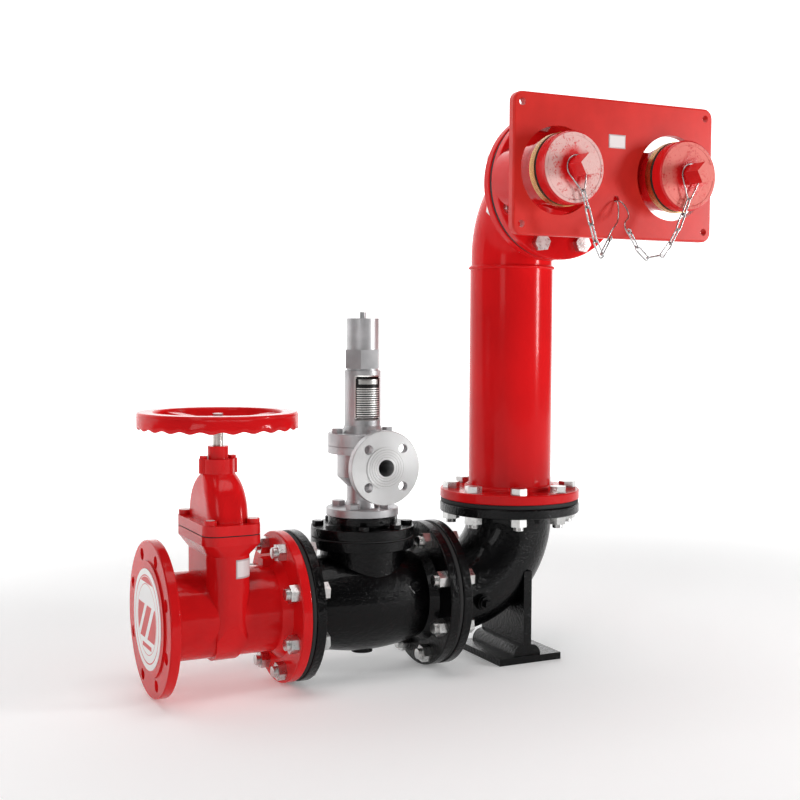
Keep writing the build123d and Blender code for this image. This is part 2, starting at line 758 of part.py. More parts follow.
# Check valve body: flanged belly with an upright neck, hinge lugs inside
belly_x = check_right_x - check_belly_from_right
check_flange_z = run_height + check_flange_bottom
check_seam_z = run_height + check_seam
seat_x = check_right_x - seat_from_right
throat_x = check_left_x + flange_back + hub_length
outlet_x = check_right_x - flange_back - hub_length
pin_x = seat_x - seat_ring_stand - clapper_pin_back
pin_z = run_height + clapper_swing_rise
lug_y = clapper_arm_t / 2 + 2 * running_gap
with BuildPart() as check_valve_body:
    with BuildSketch(Plane.XZ):
        with BuildLine():
            Polyline(
                (throat_x, run_height + check_throat_r),
                (check_left_x + flange_back, run_height + hub_r),
                (check_left_x + flange_back, run_height + flange_r),
                (check_left_x + face_t, run_height + flange_r),
                (check_left_x + face_t, run_height + face_r),
                (check_left_x, run_height + face_r),
                (check_left_x, run_height),
                (check_right_x, run_height),
                (check_right_x, run_height + face_r),
                (check_right_x - face_t, run_height + face_r),
                (check_right_x - face_t, run_height + flange_r),
                (check_right_x - flange_back, run_height + flange_r),
                (check_right_x - flange_back, run_height + hub_r),
                (outlet_x, run_height + check_outlet_r),
            )
            ThreePointArc(
                (outlet_x, run_height + check_outlet_r),
                (belly_x, run_height + check_belly_r),
                (throat_x, run_height + check_throat_r),
            )
        make_face()
    revolve(axis=run_axis)
    with BuildSketch(Plane.XY.offset(run_height)):
        with Locations((check_x, 0)):
            Circle(check_neck_r)
    extrude(amount=check_flange_bottom)
    with BuildSketch(Plane.XY.offset(check_flange_z)):
        with Locations((check_x, 0)):
            Circle(check_flange_r)
    extrude(amount=check_seam - check_flange_bottom)
    with BuildSketch(Plane.XY.offset(run_height - check_boss_drop)):
        with Locations((check_x, 0)):
            Circle(check_boss_r)
    extrude(amount=check_boss_drop - check_throat_r + check_wall)
    with BuildSketch(Plane.XZ):
        with BuildLine():
            Polyline(
                (seat_x, run_height + check_outlet_r - check_wall),
                (seat_x, run_height),
                (throat_x, run_height),
                (throat_x, run_height + check_throat_r - check_wall),
            )
            ThreePointArc(
                (throat_x, run_height + check_throat_r - check_wall),
                (belly_x, run_height + check_belly_r - check_wall),
                (seat_x, run_height + check_outlet_r - check_wall),
            )
        make_face()
    revolve(axis=run_axis, mode=Mode.SUBTRACT)
    with BuildSketch(Plane.XY.offset(run_height)):
        with Locations((check_x, 0)):
            Circle(check_neck_bore_r)
    extrude(amount=check_seam, mode=Mode.SUBTRACT)
    with BuildSketch(Plane.YZ.offset(check_left_x)):
        with Locations((0, run_height)):
            Circle(check_throat_r - check_wall)
    extrude(amount=flange_back + hub_length, mode=Mode.SUBTRACT)
    with BuildSketch(Plane.YZ.offset(check_right_x)):
        with Locations((0, run_height)):
            Circle(seat_bore_r)
    extrude(amount=-seat_from_right, mode=Mode.SUBTRACT)
    with BuildSketch(Plane.YZ.offset(seat_x)):
        with Locations((0, run_height)):
            Circle(bore_r)
    extrude(amount=seat_ring_t, mode=Mode.SUBTRACT)
    with BuildSketch(Plane.XZ.offset(lug_y)):
        with Locations((pin_x, pin_z)):
            Circle(hinge_lug_r)
            Rectangle(check_x + check_neck_r - pin_x, 2 * hinge_lug_r, align=(Align.MIN, Align.CENTER))
    extrude(amount=hinge_lug_t)
    with BuildSketch(Plane.XZ.offset(-lug_y)):
        with Locations((pin_x, pin_z)):
            Circle(hinge_lug_r)
            Rectangle(check_x + check_neck_r - pin_x, 2 * hinge_lug_r, align=(Align.MIN, Align.CENTER))
    extrude(amount=-hinge_lug_t)
    with BuildSketch(Plane.XZ):
        with Locations((pin_x, pin_z)):
            Circle(hinge_pin_r + thread_gap)
    extrude(amount=lug_y + hinge_lug_t, both=True, mode=Mode.SUBTRACT)
    with BuildSketch(Plane.YZ.offset(check_left_x)):
        with Locations((0, run_height)):
            with PolarLocations(bolt_circle_r, bolt_count, half_pitch):
                Circle(bolt_hole_r)
    extrude(amount=flange_back, mode=Mode.SUBTRACT)
    with BuildSketch(Plane.YZ.offset(check_right_x)):
        with Locations((0, run_height)):
            with PolarLocations(bolt_circle_r, bolt_count, half_pitch):
                Circle(bolt_hole_r)
    extrude(amount=-flange_back, mode=Mode.SUBTRACT)
    with BuildSketch(Plane.XY.offset(check_seam_z)):
        with Locations((check_x, 0)):
            with PolarLocations(cover_bolt_circle_r, cover_bolt_count, 180 / cover_bolt_count):
                Circle(cover_bolt_r + thread_gap)
    extrude(amount=-(check_seam - check_flange_bottom), mode=Mode.SUBTRACT)
    fillet(rim_edges(check_valve_body, flange_r), flange_edge)
    fillet(rim_edges(check_valve_body, check_flange_r), 0.6 * flange_edge)
check_valve_body.part.label = "check_valve_body"
export_step(check_valve_body.part, "parts/check_valve_body.step")

# Seat ring pressed into the body
with BuildPart() as seat_ring:
    with BuildSketch(Plane.YZ.offset(seat_x - seat_ring_stand)):
        with Locations((0, run_height)):
            Circle(bore_r)
            Circle(seat_bore_r, mode=Mode.SUBTRACT)
    extrude(amount=seat_ring_stand + seat_ring_t)
seat_ring.part.label = "seat_ring"
export_step(seat_ring.part, "parts/seat_ring.step")

# Clapper disc on its seat, with the arm that swings it
clapper_face_x = seat_x - seat_ring_stand - running_gap
clapper_back_x = clapper_face_x - clapper_t
with BuildPart() as clapper:
    with BuildSketch(Plane.YZ.offset(clapper_face_x)):
        with Locations((0, run_height)):
            Circle(clapper_r)
    extrude(amount=-clapper_t)
clapper.part.label = "clapper"
export_step(clapper.part, "parts/clapper.step")

with BuildPart() as clapper_arm:
    with BuildSketch(Plane.XZ):
        with Locations((pin_x, pin_z)):
            Circle(clapper_eye_r)
        with BuildLine():
            Polyline(
                (clapper_back_x - clapper_boss_t, pin_z),
                (pin_x, pin_z + clapper_eye_r),
                (clapper_back_x, pin_z),
                (clapper_back_x, run_height + clapper_boss_r),
                (clapper_back_x, run_height - clapper_boss_r),
                (clapper_back_x - clapper_boss_t, run_height - clapper_boss_r),
                close=True,
            )
        make_face()
        with Locations((pin_x, pin_z)):
            Circle(hinge_pin_r + running_gap, mode=Mode.SUBTRACT)
    extrude(amount=clapper_arm_t / 2, both=True)
    with BuildSketch(Plane.YZ.offset(clapper_back_x)):
        with Locations((0, run_height)):
            Circle(clapper_boss_r)
    extrude(amount=-clapper_boss_t)
clapper_arm.part.label = "clapper_arm"
export_step(clapper_arm.part, "parts/clapper_arm.step")

with BuildPart() as hinge_pin:
    with BuildSketch(Plane.XZ):
        with Locations((pin_x, pin_z)):
            Circle(hinge_pin_r)
    extrude(amount=lug_y + hinge_lug_t, both=True)
hinge_pin.part.label = "hinge_pin"
export_step(hinge_pin.part, "parts/hinge_pin.step")

# Cover of the check valve, with the pad that carries the relief valve
with BuildPart() as cover_gasket:
    with BuildSketch(Plane.XY.offset(check_seam_z)):
        with Locations((check_x, 0)):
            Circle(check_flange_r - 1.5)
            Circle(check_neck_bore_r, mode=Mode.SUBTRACT)
            with PolarLocations(cover_bolt_circle_r, cover_bolt_count, 180 / cover_bolt_count):
                Circle(cover_bolt_r + thread_gap, mode=Mode.SUBTRACT)
    extrude(amount=cover_gasket_t)
cover_gasket.part.label = "cover_gasket"
export_step(cover_gasket.part, "parts/cover_gasket.step")

cover_z = check_seam_z + cover_gasket_t
cover_top_z = cover_z + cover_t
pad_z = cover_top_z + pad_h
with BuildPart() as check_valve_cover:
    with BuildSketch(Plane.XY.offset(cover_z)):
        with Locations((check_x, 0)):
            Circle(check_flange_r)
    extrude(amount=cover_t)
    with BuildSketch(Plane.XY.offset(cover_top_z)):
        with Locations((check_x, 0)):
            Circle(pad_r)
    extrude(amount=pad_h)
    with BuildSketch(Plane.XY.offset(cover_z)):
        with Locations((check_x, 0)):
            Circle(relief_bore_r)
    extrude(amount=cover_t + pad_h, mode=Mode.SUBTRACT)
    with BuildSketch(Plane.XY.offset(cover_z)):
        with Locations((check_x, 0)):
            with PolarLocations(cover_bolt_circle_r, cover_bolt_count, 180 / cover_bolt_count):
                Circle(cover_bolt_r + thread_gap)
    extrude(amount=cover_t, mode=Mode.SUBTRACT)
    with BuildSketch(Plane.XY.offset(pad_z)):
        with Locations((check_x, 0)):
            with PolarLocations(relief_bolt_circle_r, relief_bolt_count, 180 / relief_bolt_count):
                Circle(relief_bolt_r + thread_gap)
    extrude(amount=-(relief_bolt_length - relief_flange_t), mode=Mode.SUBTRACT)
    fillet(rim_edges(check_valve_cover, check_flange_r), 0.6 * flange_edge)
check_valve_cover.part.label = "check_valve_cover"
export_step(check_valve_cover.part, "parts/check_valve_cover.step")

with BuildPart() as cover_bolts:
    with Locations((check_x, 0, cover_top_z)):
        with PolarLocations(cover_bolt_circle_r, cover_bolt_count, 180 / cover_bolt_count):
            add(hex_bolt(cover_bolt_r, cover_bolt_length, cover_bolt_flats, cover_bolt_head_h))
cover_bolts.part.label = "cover_bolts"
export_step(cover_bolts.part, "parts/cover_bolts.step")

# Relief valve body: angle pattern, inlet below, outlet to the front
relief_z = pad_z + relief_gasket_t
chamber_z = relief_z + relief_chamber_rise
relief_seam_z = relief_z + relief_body_rise + relief_body_flange_t
relief_outlet_z = relief_z + relief_outlet_rise
with BuildPart() as relief_gasket:
    with BuildSketch(Plane.XY.offset(pad_z)):
        with Locations((check_x, 0)):
            Circle(relief_outlet_face_r)
            Circle(relief_bore_r, mode=Mode.SUBTRACT)
    extrude(amount=relief_gasket_t)
relief_gasket.part.label = "relief_gasket"
export_step(relief_gasket.part, "parts/relief_gasket.step")

with BuildPart() as relief_body:
    with BuildSketch(Plane.XZ):
        with BuildLine():
            Polyline(
                (check_x, relief_z),
                (check_x + relief_flange_r, relief_z),
                (check_x + relief_flange_r, relief_z + relief_flange_t),
                (check_x + 1.15 * relief_neck_r, relief_z + relief_flange_t),
                (check_x + relief_neck_r, relief_z + 2 * relief_flange_t),
                (check_x + relief_neck_r, chamber_z - 0.25 * relief_chamber_rise),
                (check_x + relief_chamber_r, chamber_z),
                (check_x + relief_chamber_r, relief_seam_z - relief_body_flange_t),
                (check_x + relief_mid_r, relief_seam_z - relief_body_flange_t),
                (check_x + relief_mid_r, relief_seam_z),
                (check_x, relief_seam_z),
                close=True,
            )
        make_face()
    revolve(axis=relief_axis)
    with BuildSketch(Plane.XZ):
        with Locations((check_x, relief_outlet_z)):
            Circle(relief_outlet_neck_r)
    extrude(amount=relief_outlet_y - relief_outlet_face_t)
    with BuildSketch(Plane.XZ.offset(relief_outlet_y - relief_outlet_face_t - relief_outlet_t)):
        with Locations((check_x, relief_outlet_z)):
            Circle(relief_flange_r)
    extrude(amount=relief_outlet_t)
    with BuildSketch(Plane.XZ.offset(relief_outlet_y - relief_outlet_face_t)):
        with Locations((check_x, relief_outlet_z)):
            Circle(relief_outlet_face_r)
    extrude(amount=relief_outlet_face_t)
    with BuildSketch(Plane.XY.offset(relief_z)):
        with Locations((check_x, 0)):
            Circle(relief_bore_r)
    extrude(amount=relief_chamber_rise, mode=Mode.SUBTRACT)
    with BuildSketch(Plane.XY.offset(chamber_z - relief_seat_t / 2)):
        with Locations((check_x, 0)):
            Circle(relief_seat_r)
    extrude(amount=relief_seat_t, mode=Mode.SUBTRACT)
    with BuildSketch(Plane.XY.offset(chamber_z)):
        with Locations((check_x, 0)):
            Circle(relief_chamber_bore_r)
    extrude(amount=relief_seam_z - chamber_z, mode=Mode.SUBTRACT)
    with BuildSketch(Plane.XZ):
        with Locations((check_x, relief_outlet_z)):
            Circle(relief_bore_r)
    extrude(amount=relief_outlet_y, mode=Mode.SUBTRACT)
    with BuildSketch(Plane.XY.offset(relief_z)):
        with Locations((check_x, 0)):
            with PolarLocations(relief_bolt_circle_r, relief_bolt_count, 180 / relief_bolt_count):
                Circle(relief_bolt_hole_r)
    extrude(amount=relief_flange_t, mode=Mode.SUBTRACT)
    with BuildSketch(Plane.XZ.offset(relief_outlet_y)):
        with Locations((check_x, relief_outlet_z)):
            with PolarLocations(relief_bolt_circle_r, relief_bolt_count, 180 / relief_bolt_count):
                Circle(relief_bolt_hole_r)
    extrude(amount=-(relief_outlet_face_t + relief_outlet_t), mode=Mode.SUBTRACT)
    with BuildSketch(Plane.XY.offset(relief_seam_z)):
        with Locations((check_x, 0)):
            with PolarLocations(relief_stud_circle_r, relief_bolt_count):
                Circle(relief_stud_r + thread_gap)
    extrude(amount=-relief_body_flange_t, mode=Mode.SUBTRACT)
    fillet(rim_edges(relief_body, relief_flange_r), 0.6 * flange_edge)
relief_body.part.label = "relief_body"
export_step(relief_body.part, "parts/relief_body.step")

with BuildPart() as relief_flange_bolts:
    with Locations((check_x, 0, relief_z + relief_flange_t)):
        with PolarLocations(relief_bolt_circle_r, relief_bolt_count, 180 / relief_bolt_count):
            add(hex_bolt(relief_bolt_r, relief_bolt_length, relief_bolt_flats, relief_bolt_head_h))
relief_flange_bolts.part.label = "relief_flange_bolts"
export_step(relief_flange_bolts.part, "parts/relief_flange_bolts.step")

# Seat, disc, spindle and spring inside
relief_seat_z = chamber_z + relief_seat_t / 2
with BuildPart() as relief_seat:
    with BuildSketch(Plane.XY.offset(chamber_z - relief_seat_t / 2)):
        with Locations((check_x, 0)):
            Circle(relief_seat_r)
            Circle(relief_bore_r, mode=Mode.SUBTRACT)
    extrude(amount=relief_seat_t)
relief_seat.part.label = "relief_seat"
export_step(relief_seat.part, "parts/relief_seat.step")

disc_z = relief_seat_z + running_gap
disc_top_z = disc_z + relief_disc_t
with BuildPart() as relief_disc:
    with BuildSketch(Plane.XY.offset(disc_z)):
        with Locations((check_x, 0)):
            Circle(relief_disc_r)
    extrude(amount=relief_disc_t)
relief_disc.part.label = "relief_disc"
export_step(relief_disc.part, "parts/relief_disc.step")

# Spring housing on the relief body
housing_z = relief_seam_z + relief_bonnet_flange_t
housing_top_z = housing_z + relief_housing_h - relief_bonnet_flange_t
with BuildPart() as relief_bonnet:
    with BuildSketch(Plane.XZ):
        with BuildLine():
            Polyline(
                (check_x, relief_seam_z),
                (check_x + relief_mid_r, relief_seam_z),
                (check_x + relief_mid_r, housing_z),
                (check_x + relief_flare_r, housing_z),
                (check_x + relief_housing_r, housing_z + relief_flare_h),
                (check_x + relief_housing_r, housing_top_z),
                (check_x, housing_top_z),
                close=True,
            )
        make_face()
    revolve(axis=relief_axis)
    with BuildSketch(Plane.XY.offset(relief_seam_z + relief_body_flange_t)):
        with Locations((check_x, 0)):
            Circle(relief_housing_bore_r)
    extrude(amount=housing_top_z - relief_housing_top_t - relief_seam_z - relief_body_flange_t, mode=Mode.SUBTRACT)
    with BuildSketch(Plane.XY.offset(relief_seam_z)):
        with Locations((check_x, 0)):
            Circle(relief_spindle_r + running_gap)
    extrude(amount=relief_body_flange_t, mode=Mode.SUBTRACT)
    with BuildSketch(Plane.XY.offset(housing_top_z)):
        with Locations((check_x, 0)):
            Circle(adjuster_r + thread_gap)
    extrude(amount=-relief_housing_top_t, mode=Mode.SUBTRACT)
    with BuildSketch(Plane.XY.offset(relief_seam_z)):
        with Locations((check_x, 0)):
            with PolarLocations(relief_stud_circle_r, relief_bolt_count):
                Circle(relief_stud_r + thread_gap)
    extrude(amount=relief_bonnet_flange_t, mode=Mode.SUBTRACT)
    fillet(rim_edges(relief_bonnet, relief_mid_r), 0.6 * flange_edge)
relief_bonnet.part.label = "relief_bonnet"
export_step(relief_bonnet.part, "parts/relief_bonnet.step")

with BuildPart() as relief_bonnet_bolts:
    with Locations((check_x, 0, housing_z)):
        with PolarLocations(relief_stud_circle_r, relief_bolt_count):
            add(hex_bolt(relief_stud_r, relief_stud_length, relief_stud_flats, relief_stud_head_h))
relief_bonnet_bolts.part.label = "relief_bonnet_bolts"
export_step(relief_bonnet_bolts.part, "parts/relief_bonnet_bolts.step")

plate_z = relief_seam_z + relief_body_flange_t + lower_plate_rise
spring_z = plate_z + spring_plate_t
adjuster_z = housing_top_z - relief_housing_top_t - adjuster_below
spring_top_z = adjuster_z - spring_plate_t
adjuster_top_z = adjuster_z + adjuster_length
with BuildPart() as lower_spring_plate:
    with BuildSketch(Plane.XY.offset(plate_z)):
        with Locations((check_x, 0)):
            Circle(spring_plate_r)
            Circle(relief_spindle_r, mode=Mode.SUBTRACT)
    extrude(amount=spring_plate_t)
lower_spring_plate.part.label = "lower_spring_plate"
export_step(lower_spring_plate.part, "parts/lower_spring_plate.step")

with BuildPart() as upper_spring_plate:
    with BuildSketch(Plane.XY.offset(spring_top_z)):
        with Locations((check_x, 0)):
            Circle(spring_plate_r)
            Circle(relief_spindle_r + running_gap, mode=Mode.SUBTRACT)
    extrude(amount=spring_plate_t)
upper_spring_plate.part.label = "upper_spring_plate"
export_step(upper_spring_plate.part, "parts/upper_spring_plate.step")

spring_height = spring_top_z - spring_z - 2 * spring_wire_r - 2 * thread_gap
with BuildPart() as relief_spring:
    with BuildLine() as spring_path:
        Helix(
            spring_height / spring_turns,
            spring_height,
            spring_mean_r,
            center=(check_x, 0, spring_z + spring_wire_r + thread_gap),
        )
    with BuildSketch(Plane(origin=spring_path.line @ 0, z_dir=spring_path.line % 0)):
        Circle(spring_wire_r)
    sweep(is_frenet=True)
relief_spring.part.label = "relief_spring"
export_step(relief_spring.part, "parts/relief_spring.step")

with BuildPart() as relief_spindle:
    with BuildSketch(Plane.XY.offset(disc_top_z)):
        with Locations((check_x, 0)):
            Circle(relief_spindle_r)
    extrude(amount=adjuster_top_z + relief_lift - disc_top_z)
relief_spindle.part.label = "relief_spindle"
export_step(relief_spindle.part, "parts/relief_spindle.step")

with BuildPart() as adjusting_screw:
    with BuildSketch(Plane.XY.offset(adjuster_z)):
        with Locations((check_x, 0)):
            Circle(adjuster_r)
            Circle(relief_spindle_r + running_gap, mode=Mode.SUBTRACT)
    extrude(amount=adjuster_length)
adjusting_screw.part.label = "adjusting_screw"
export_step(adjusting_screw.part, "parts/adjusting_screw.step")

with BuildPart() as adjuster_lock_nut:
    with Locations((check_x, 0, housing_top_z)):
        add(hex_nut(adjuster_r, lock_nut_flats, lock_nut_h))
adjuster_lock_nut.part.label = "adjuster_lock_nut"
export_step(adjuster_lock_nut.part, "parts/adjuster_lock_nut.step")

# Cap over the adjuster, with a hexagon foot and a stub on top
cap_z = housing_top_z
with BuildPart() as relief_cap:
    with BuildSketch(Plane.XY.offset(cap_z)):
        with Locations((check_x, 0)):
            Circle(relief_housing_r - cap_gap_h)
    extrude(amount=cap_gap_h)
    with BuildSketch(Plane.XY.offset(cap_z + cap_gap_h)):
        with Locations((check_x, 0)):
            RegularPolygon(cap_flats / 2, 6, major_radius=False)
    extrude(amount=cap_flats_h)
    with BuildSketch(Plane.XY.offset(cap_z + cap_gap_h + cap_flats_h)):
        with Locations((check_x, 0)):
            Circle(cap_r)
    extrude(amount=cap_h - cap_flats_h - cap_gap_h)
    with BuildSketch(Plane.XY.offset(cap_z + cap_h)):
        with Locations((check_x, 0)):
            Circle(cap_stub_r)
    extrude(amount=cap_stub_h)
    with BuildSketch(Plane.XY.offset(cap_z)):
        with Locations((check_x, 0)):
            Circle(cap_r - cap_wall)
    extrude(amount=cap_h - cap_wall, mode=Mode.SUBTRACT)
relief_cap.part.label = "relief_cap"
export_step(relief_cap.part, "parts/relief_cap.step")

# Foot elbow: bend with two flanges on a flared pedestal and a base plate
elbow_centre = (-elbow_bend, 0, run_height + elbow_bend)
elbow_axis = Axis(elbow_centre, (0, -1, 0))
drain_x = -drain_back
drain_z = run_height - drain_drop
with BuildPart() as foot_elbow:
    with BuildSketch(Plane.YZ.offset(-elbow_bend)):
        with Locations((0, run_height)):
            Circle(elbow_tube_r)
    revolve(axis=elbow_axis, revolution_arc=90)
    with BuildSketch(Plane.YZ.offset(-elbow_bend)):
        with Locations((0, run_height)):
            Circle(elbow_tube_r)
    extrude(amount=elbow_bend - elbow_reach + face_t)
    with BuildSketch(Plane.XY.offset(run_height + elbow_bend)):
        Circle(elbow_tube_r)
    extrude(amount=elbow_rise - elbow_bend - face_t)
    with BuildSketch(Plane.YZ.offset(elbow_face_x + face_t)):
        with Locations((0, run_height)):
            Circle(flange_r)
    extrude(amount=flange_t)
    with BuildSketch(Plane.YZ.offset(elbow_face_x)):
        with Locations((0, run_height)):
            Circle(face_r)
    extrude(amount=face_t)
    with BuildSketch(Plane.XY.offset(riser_face_z - flange_back)):
        Circle(flange_r)
    extrude(amount=flange_t)
    with BuildSketch(Plane.XY.offset(riser_face_z - face_t)):
        Circle(face_r)
    extrude(amount=face_t)
    with BuildSketch(Plane.XY):
        Rectangle(foot_x, foot_y)
    extrude(amount=foot_t)
    with BuildSketch(Plane.XZ):
        with BuildLine():
            pedestal_left = pedestal_x - pedestal_t / 2
            pedestal_right = pedestal_x + pedestal_t / 2
            Polyline(
                (pedestal_right, foot_t + pedestal_flare),
                (pedestal_right, run_height + pedestal_top),
                (pedestal_left, run_height + pedestal_top),
                (pedestal_left, foot_t + pedestal_flare),
            )
            RadiusArc(
                (pedestal_left, foot_t + pedestal_flare),
                (pedestal_left - pedestal_flare, foot_t),
                -pedestal_flare,
            )
            Line((pedestal_left - pedestal_flare, foot_t), (pedestal_right + pedestal_flare, foot_t))
            RadiusArc(
                (pedestal_right + pedestal_flare, foot_t),
                (pedestal_right, foot_t + pedestal_flare),
                -pedestal_flare,
            )
        make_face()
    extrude(amount=pedestal_y, both=True)
    with BuildSketch(Plane.XZ):
        with Locations((drain_x, drain_z)):
            Circle(drain_boss_r)
    extrude(amount=drain_boss_y)
    with BuildSketch(Plane.YZ.offset(-elbow_bend)):
        with Locations((0, run_height)):
            Circle(bore_r)
    revolve(axis=elbow_axis, revolution_arc=90, mode=Mode.SUBTRACT)
    with BuildSketch(Plane.YZ.offset(elbow_face_x)):
        with Locations((0, run_height)):
            Circle(bore_r)
    extrude(amount=elbow_reach - elbow_bend, mode=Mode.SUBTRACT)
    with BuildSketch(Plane.XY.offset(riser_face_z)):
        Circle(bore_r)
    extrude(amount=elbow_bend - elbow_rise, mode=Mode.SUBTRACT)
    with BuildSketch(Plane.XZ.offset(drain_boss_y)):
        with Locations((drain_x, drain_z)):
            Circle(plug_r + thread_gap)
    extrude(amount=-(plug_length + 8), mode=Mode.SUBTRACT)
    with BuildSketch(Plane.YZ.offset(elbow_face_x)):
        with Locations((0, run_height)):
            with PolarLocations(bolt_circle_r, bolt_count, half_pitch):
                Circle(bolt_hole_r)
    extrude(amount=flange_back, mode=Mode.SUBTRACT)
    with BuildSketch(Plane.XY.offset(riser_face_z)):
        with PolarLocations(bolt_circle_r, bolt_count, half_pitch):
            Circle(bolt_hole_r)
    extrude(amount=-flange_back, mode=Mode.SUBTRACT)
    fillet(rim_edges(foot_elbow, flange_r), flange_edge)
foot_elbow.part.label = "foot_elbow"
export_step(foot_elbow.part, "parts/foot_elbow.step")

with BuildPart() as drain_plug:
    with BuildSketch(Plane.XZ.offset(drain_boss_y - plug_length)):
        with Locations((drain_x, drain_z)):
            Circle(plug_r)
    extrude(amount=plug_length)
    with BuildSketch(Plane.XZ.offset(drain_boss_y)):
        with Locations((drain_x, drain_z)):
            Circle(plug_head_r)
    extrude(amount=plug_head_t)
    with BuildSketch(Plane.XZ.offset(drain_boss_y + plug_head_t)):
        with Locations((drain_x, drain_z)):
            Rectangle(plug_square, plug_square)
    extrude(amount=plug_square_h)
drain_plug.part.label = "drain_plug"
export_step(drain_plug.part, "parts/drain_plug.step")

# Riser: plate flange, straight pipe, bend and upper plate flange, butt welded
pipe_bore_r = pipe_r - pipe_wall
riser_base_z = riser_face_z + gasket_t
pipe_base_z = riser_base_z + flange_back
bend_base_z = inlet_z - bend_radius - bend_straight
with BuildPart() as riser_lower_flange:
    with BuildSketch(Plane.XY.offset(riser_base_z)):
        Circle(face_r)
    extrude(amount=face_t)
    with BuildSketch(Plane.XY.offset(riser_base_z + face_t)):
        Circle(flange_r)
    extrude(amount=flange_t)
    with BuildSketch(Plane.XY.offset(riser_base_z)):
        Circle(pipe_bore_r)
        with PolarLocations(bolt_circle_r, bolt_count, half_pitch):
            Circle(bolt_hole_r)
    extrude(amount=flange_back, mode=Mode.SUBTRACT)
    fillet(rim_edges(riser_lower_flange, flange_r), flange_edge)
riser_lower_flange.part.label = "riser_lower_flange"
export_step(riser_lower_flange.part, "parts/riser_lower_flange.step")

with BuildPart() as riser_pipe:
    with BuildSketch(Plane.XZ):
        with BuildLine():
            Polyline(
                (pipe_bore_r, pipe_base_z),
                (pipe_r + weld_w, pipe_base_z),
                (pipe_r, pipe_base_z + weld_w),
                (pipe_r, bend_base_z),
                (pipe_bore_r, bend_base_z),
                close=True,
            )
        make_face()
    revolve(axis=Axis.Z)
riser_pipe.part.label = "riser_pipe"
export_step(riser_pipe.part, "parts/riser_pipe.step")

bend_bore_r = bend_pipe_r - pipe_wall
bend_axis = Axis((0, -bend_radius, inlet_z - bend_radius), (1, 0, 0))
with BuildPart() as riser_bend:
    with BuildSketch(Plane.XY.offset(bend_base_z)):
        Circle(bend_pipe_r)
    extrude(amount=bend_straight)
    with BuildSketch(Plane.XY.offset(inlet_z - bend_radius)):
        Circle(bend_pipe_r)
    revolve(axis=bend_axis, revolution_arc=90)
    with BuildSketch(Plane.XZ):
        with Locations((bend_pipe_r, bend_base_z + bead_r)):
            Circle(bead_r)
    revolve(axis=Axis.Z)
    with BuildSketch(Plane.XY.offset(bend_base_z)):
        Circle(bend_bore_r)
    extrude(amount=bend_straight, mode=Mode.SUBTRACT)
    with BuildSketch(Plane.XY.offset(inlet_z - bend_radius)):
        Circle(bend_bore_r)
    revolve(axis=bend_axis, revolution_arc=90, mode=Mode.SUBTRACT)
riser_bend.part.label = "riser_bend"
export_step(riser_bend.part, "parts/riser_bend.step")

with BuildPart() as riser_upper_flange:
    with BuildSketch(Plane.XZ.offset(bend_end_y)):
        with Locations((0, inlet_z)):
            Circle(flange_r)
    extrude(amount=flange_t)
    with BuildSketch(Plane.XZ.offset(bend_end_y + flange_t)):
        with Locations((0, inlet_z)):
            Circle(face_r)
    extrude(amount=face_t)
    with BuildSketch(Plane.XZ.offset(bend_end_y)):
        with Locations((0, inlet_z)):
            Circle(bend_bore_r)
            with PolarLocations(bolt_circle_r, bolt_count, half_pitch):
                Circle(bolt_hole_r)
    extrude(amount=flange_back, mode=Mode.SUBTRACT)
    fillet(rim_edges(riser_upper_flange, flange_r), flange_edge)
riser_upper_flange.part.label = "riser_upper_flange"
export_step(riser_upper_flange.part, "parts/riser_upper_flange.step")

# Flange gaskets
with BuildPart() as gate_check_gasket:
    with BuildSketch(Plane.YZ.offset(gate_right_x)):
        with Locations((0, run_height)):
            Circle(face_r)
            Circle(bore_r, mode=Mode.SUBTRACT)
    extrude(amount=gasket_t)
gate_check_gasket.part.label = "gate_check_gasket"
export_step(gate_check_gasket.part, "parts/gate_check_gasket.step")

with BuildPart() as check_elbow_gasket:
    with BuildSketch(Plane.YZ.offset(check_right_x)):
        with Locations((0, run_height)):
            Circle(face_r)
            Circle(bore_r, mode=Mode.SUBTRACT)
    extrude(amount=gasket_t)
check_elbow_gasket.part.label = "check_elbow_gasket"
export_step(check_elbow_gasket.part, "parts/check_elbow_gasket.step")

with BuildPart() as elbow_riser_gasket:
    with BuildSketch(Plane.XY.offset(riser_face_z)):
        Circle(face_r)
        Circle(bore_r, mode=Mode.SUBTRACT)
    extrude(amount=gasket_t)
elbow_riser_gasket.part.label = "elbow_riser_gasket"
export_step(elbow_riser_gasket.part, "parts/elbow_riser_gasket.step")

with BuildPart() as bend_branch_gasket:
    with BuildSketch(Plane.XZ.offset(bend_end_y + flange_back)):
        with Locations((0, inlet_z)):
            Circle(face_r)
            Circle(bore_r, mode=Mode.SUBTRACT)
    extrude(amount=gasket_t)
bend_branch_gasket.part.label = "bend_branch_gasket"
export_step(bend_branch_gasket.part, "parts/bend_branch_gasket.step")

# Flange bolts and nuts of the four joints, head sides first
head_sides = (
    facing(check_left_x + flange_back, 0, run_height, (1, 0, 0)),
    facing(elbow_face_x + flange_back, 0, run_height, (1, 0, 0)),
    facing(0, 0, pipe_base_z, (0, 0, 1)),
    facing(0, -(branch_face_y + flange_back), inlet_z, (0, -1, 0)),
)
nut_sides = (
    facing(gate_right_x - flange_back, 0, run_height, (-1, 0, 0)),
    facing(check_right_x - flange_back, 0, run_height, (-1, 0, 0)),
    facing(0, 0, riser_face_z - flange_back, (0, 0, -1)),
    facing(0, -bend_end_y, inlet_z, (0, 1, 0)),
)
with BuildPart() as flange_bolts:
    for side in head_sides:
        with Locations(side):
            with PolarLocations(bolt_circle_r, bolt_count, half_pitch):
                add(hex_bolt(bolt_r, joint_stack + nut_h + bolt_tail, bolt_flats, bolt_head_h))
flange_bolts.part.label = "flange_bolts"
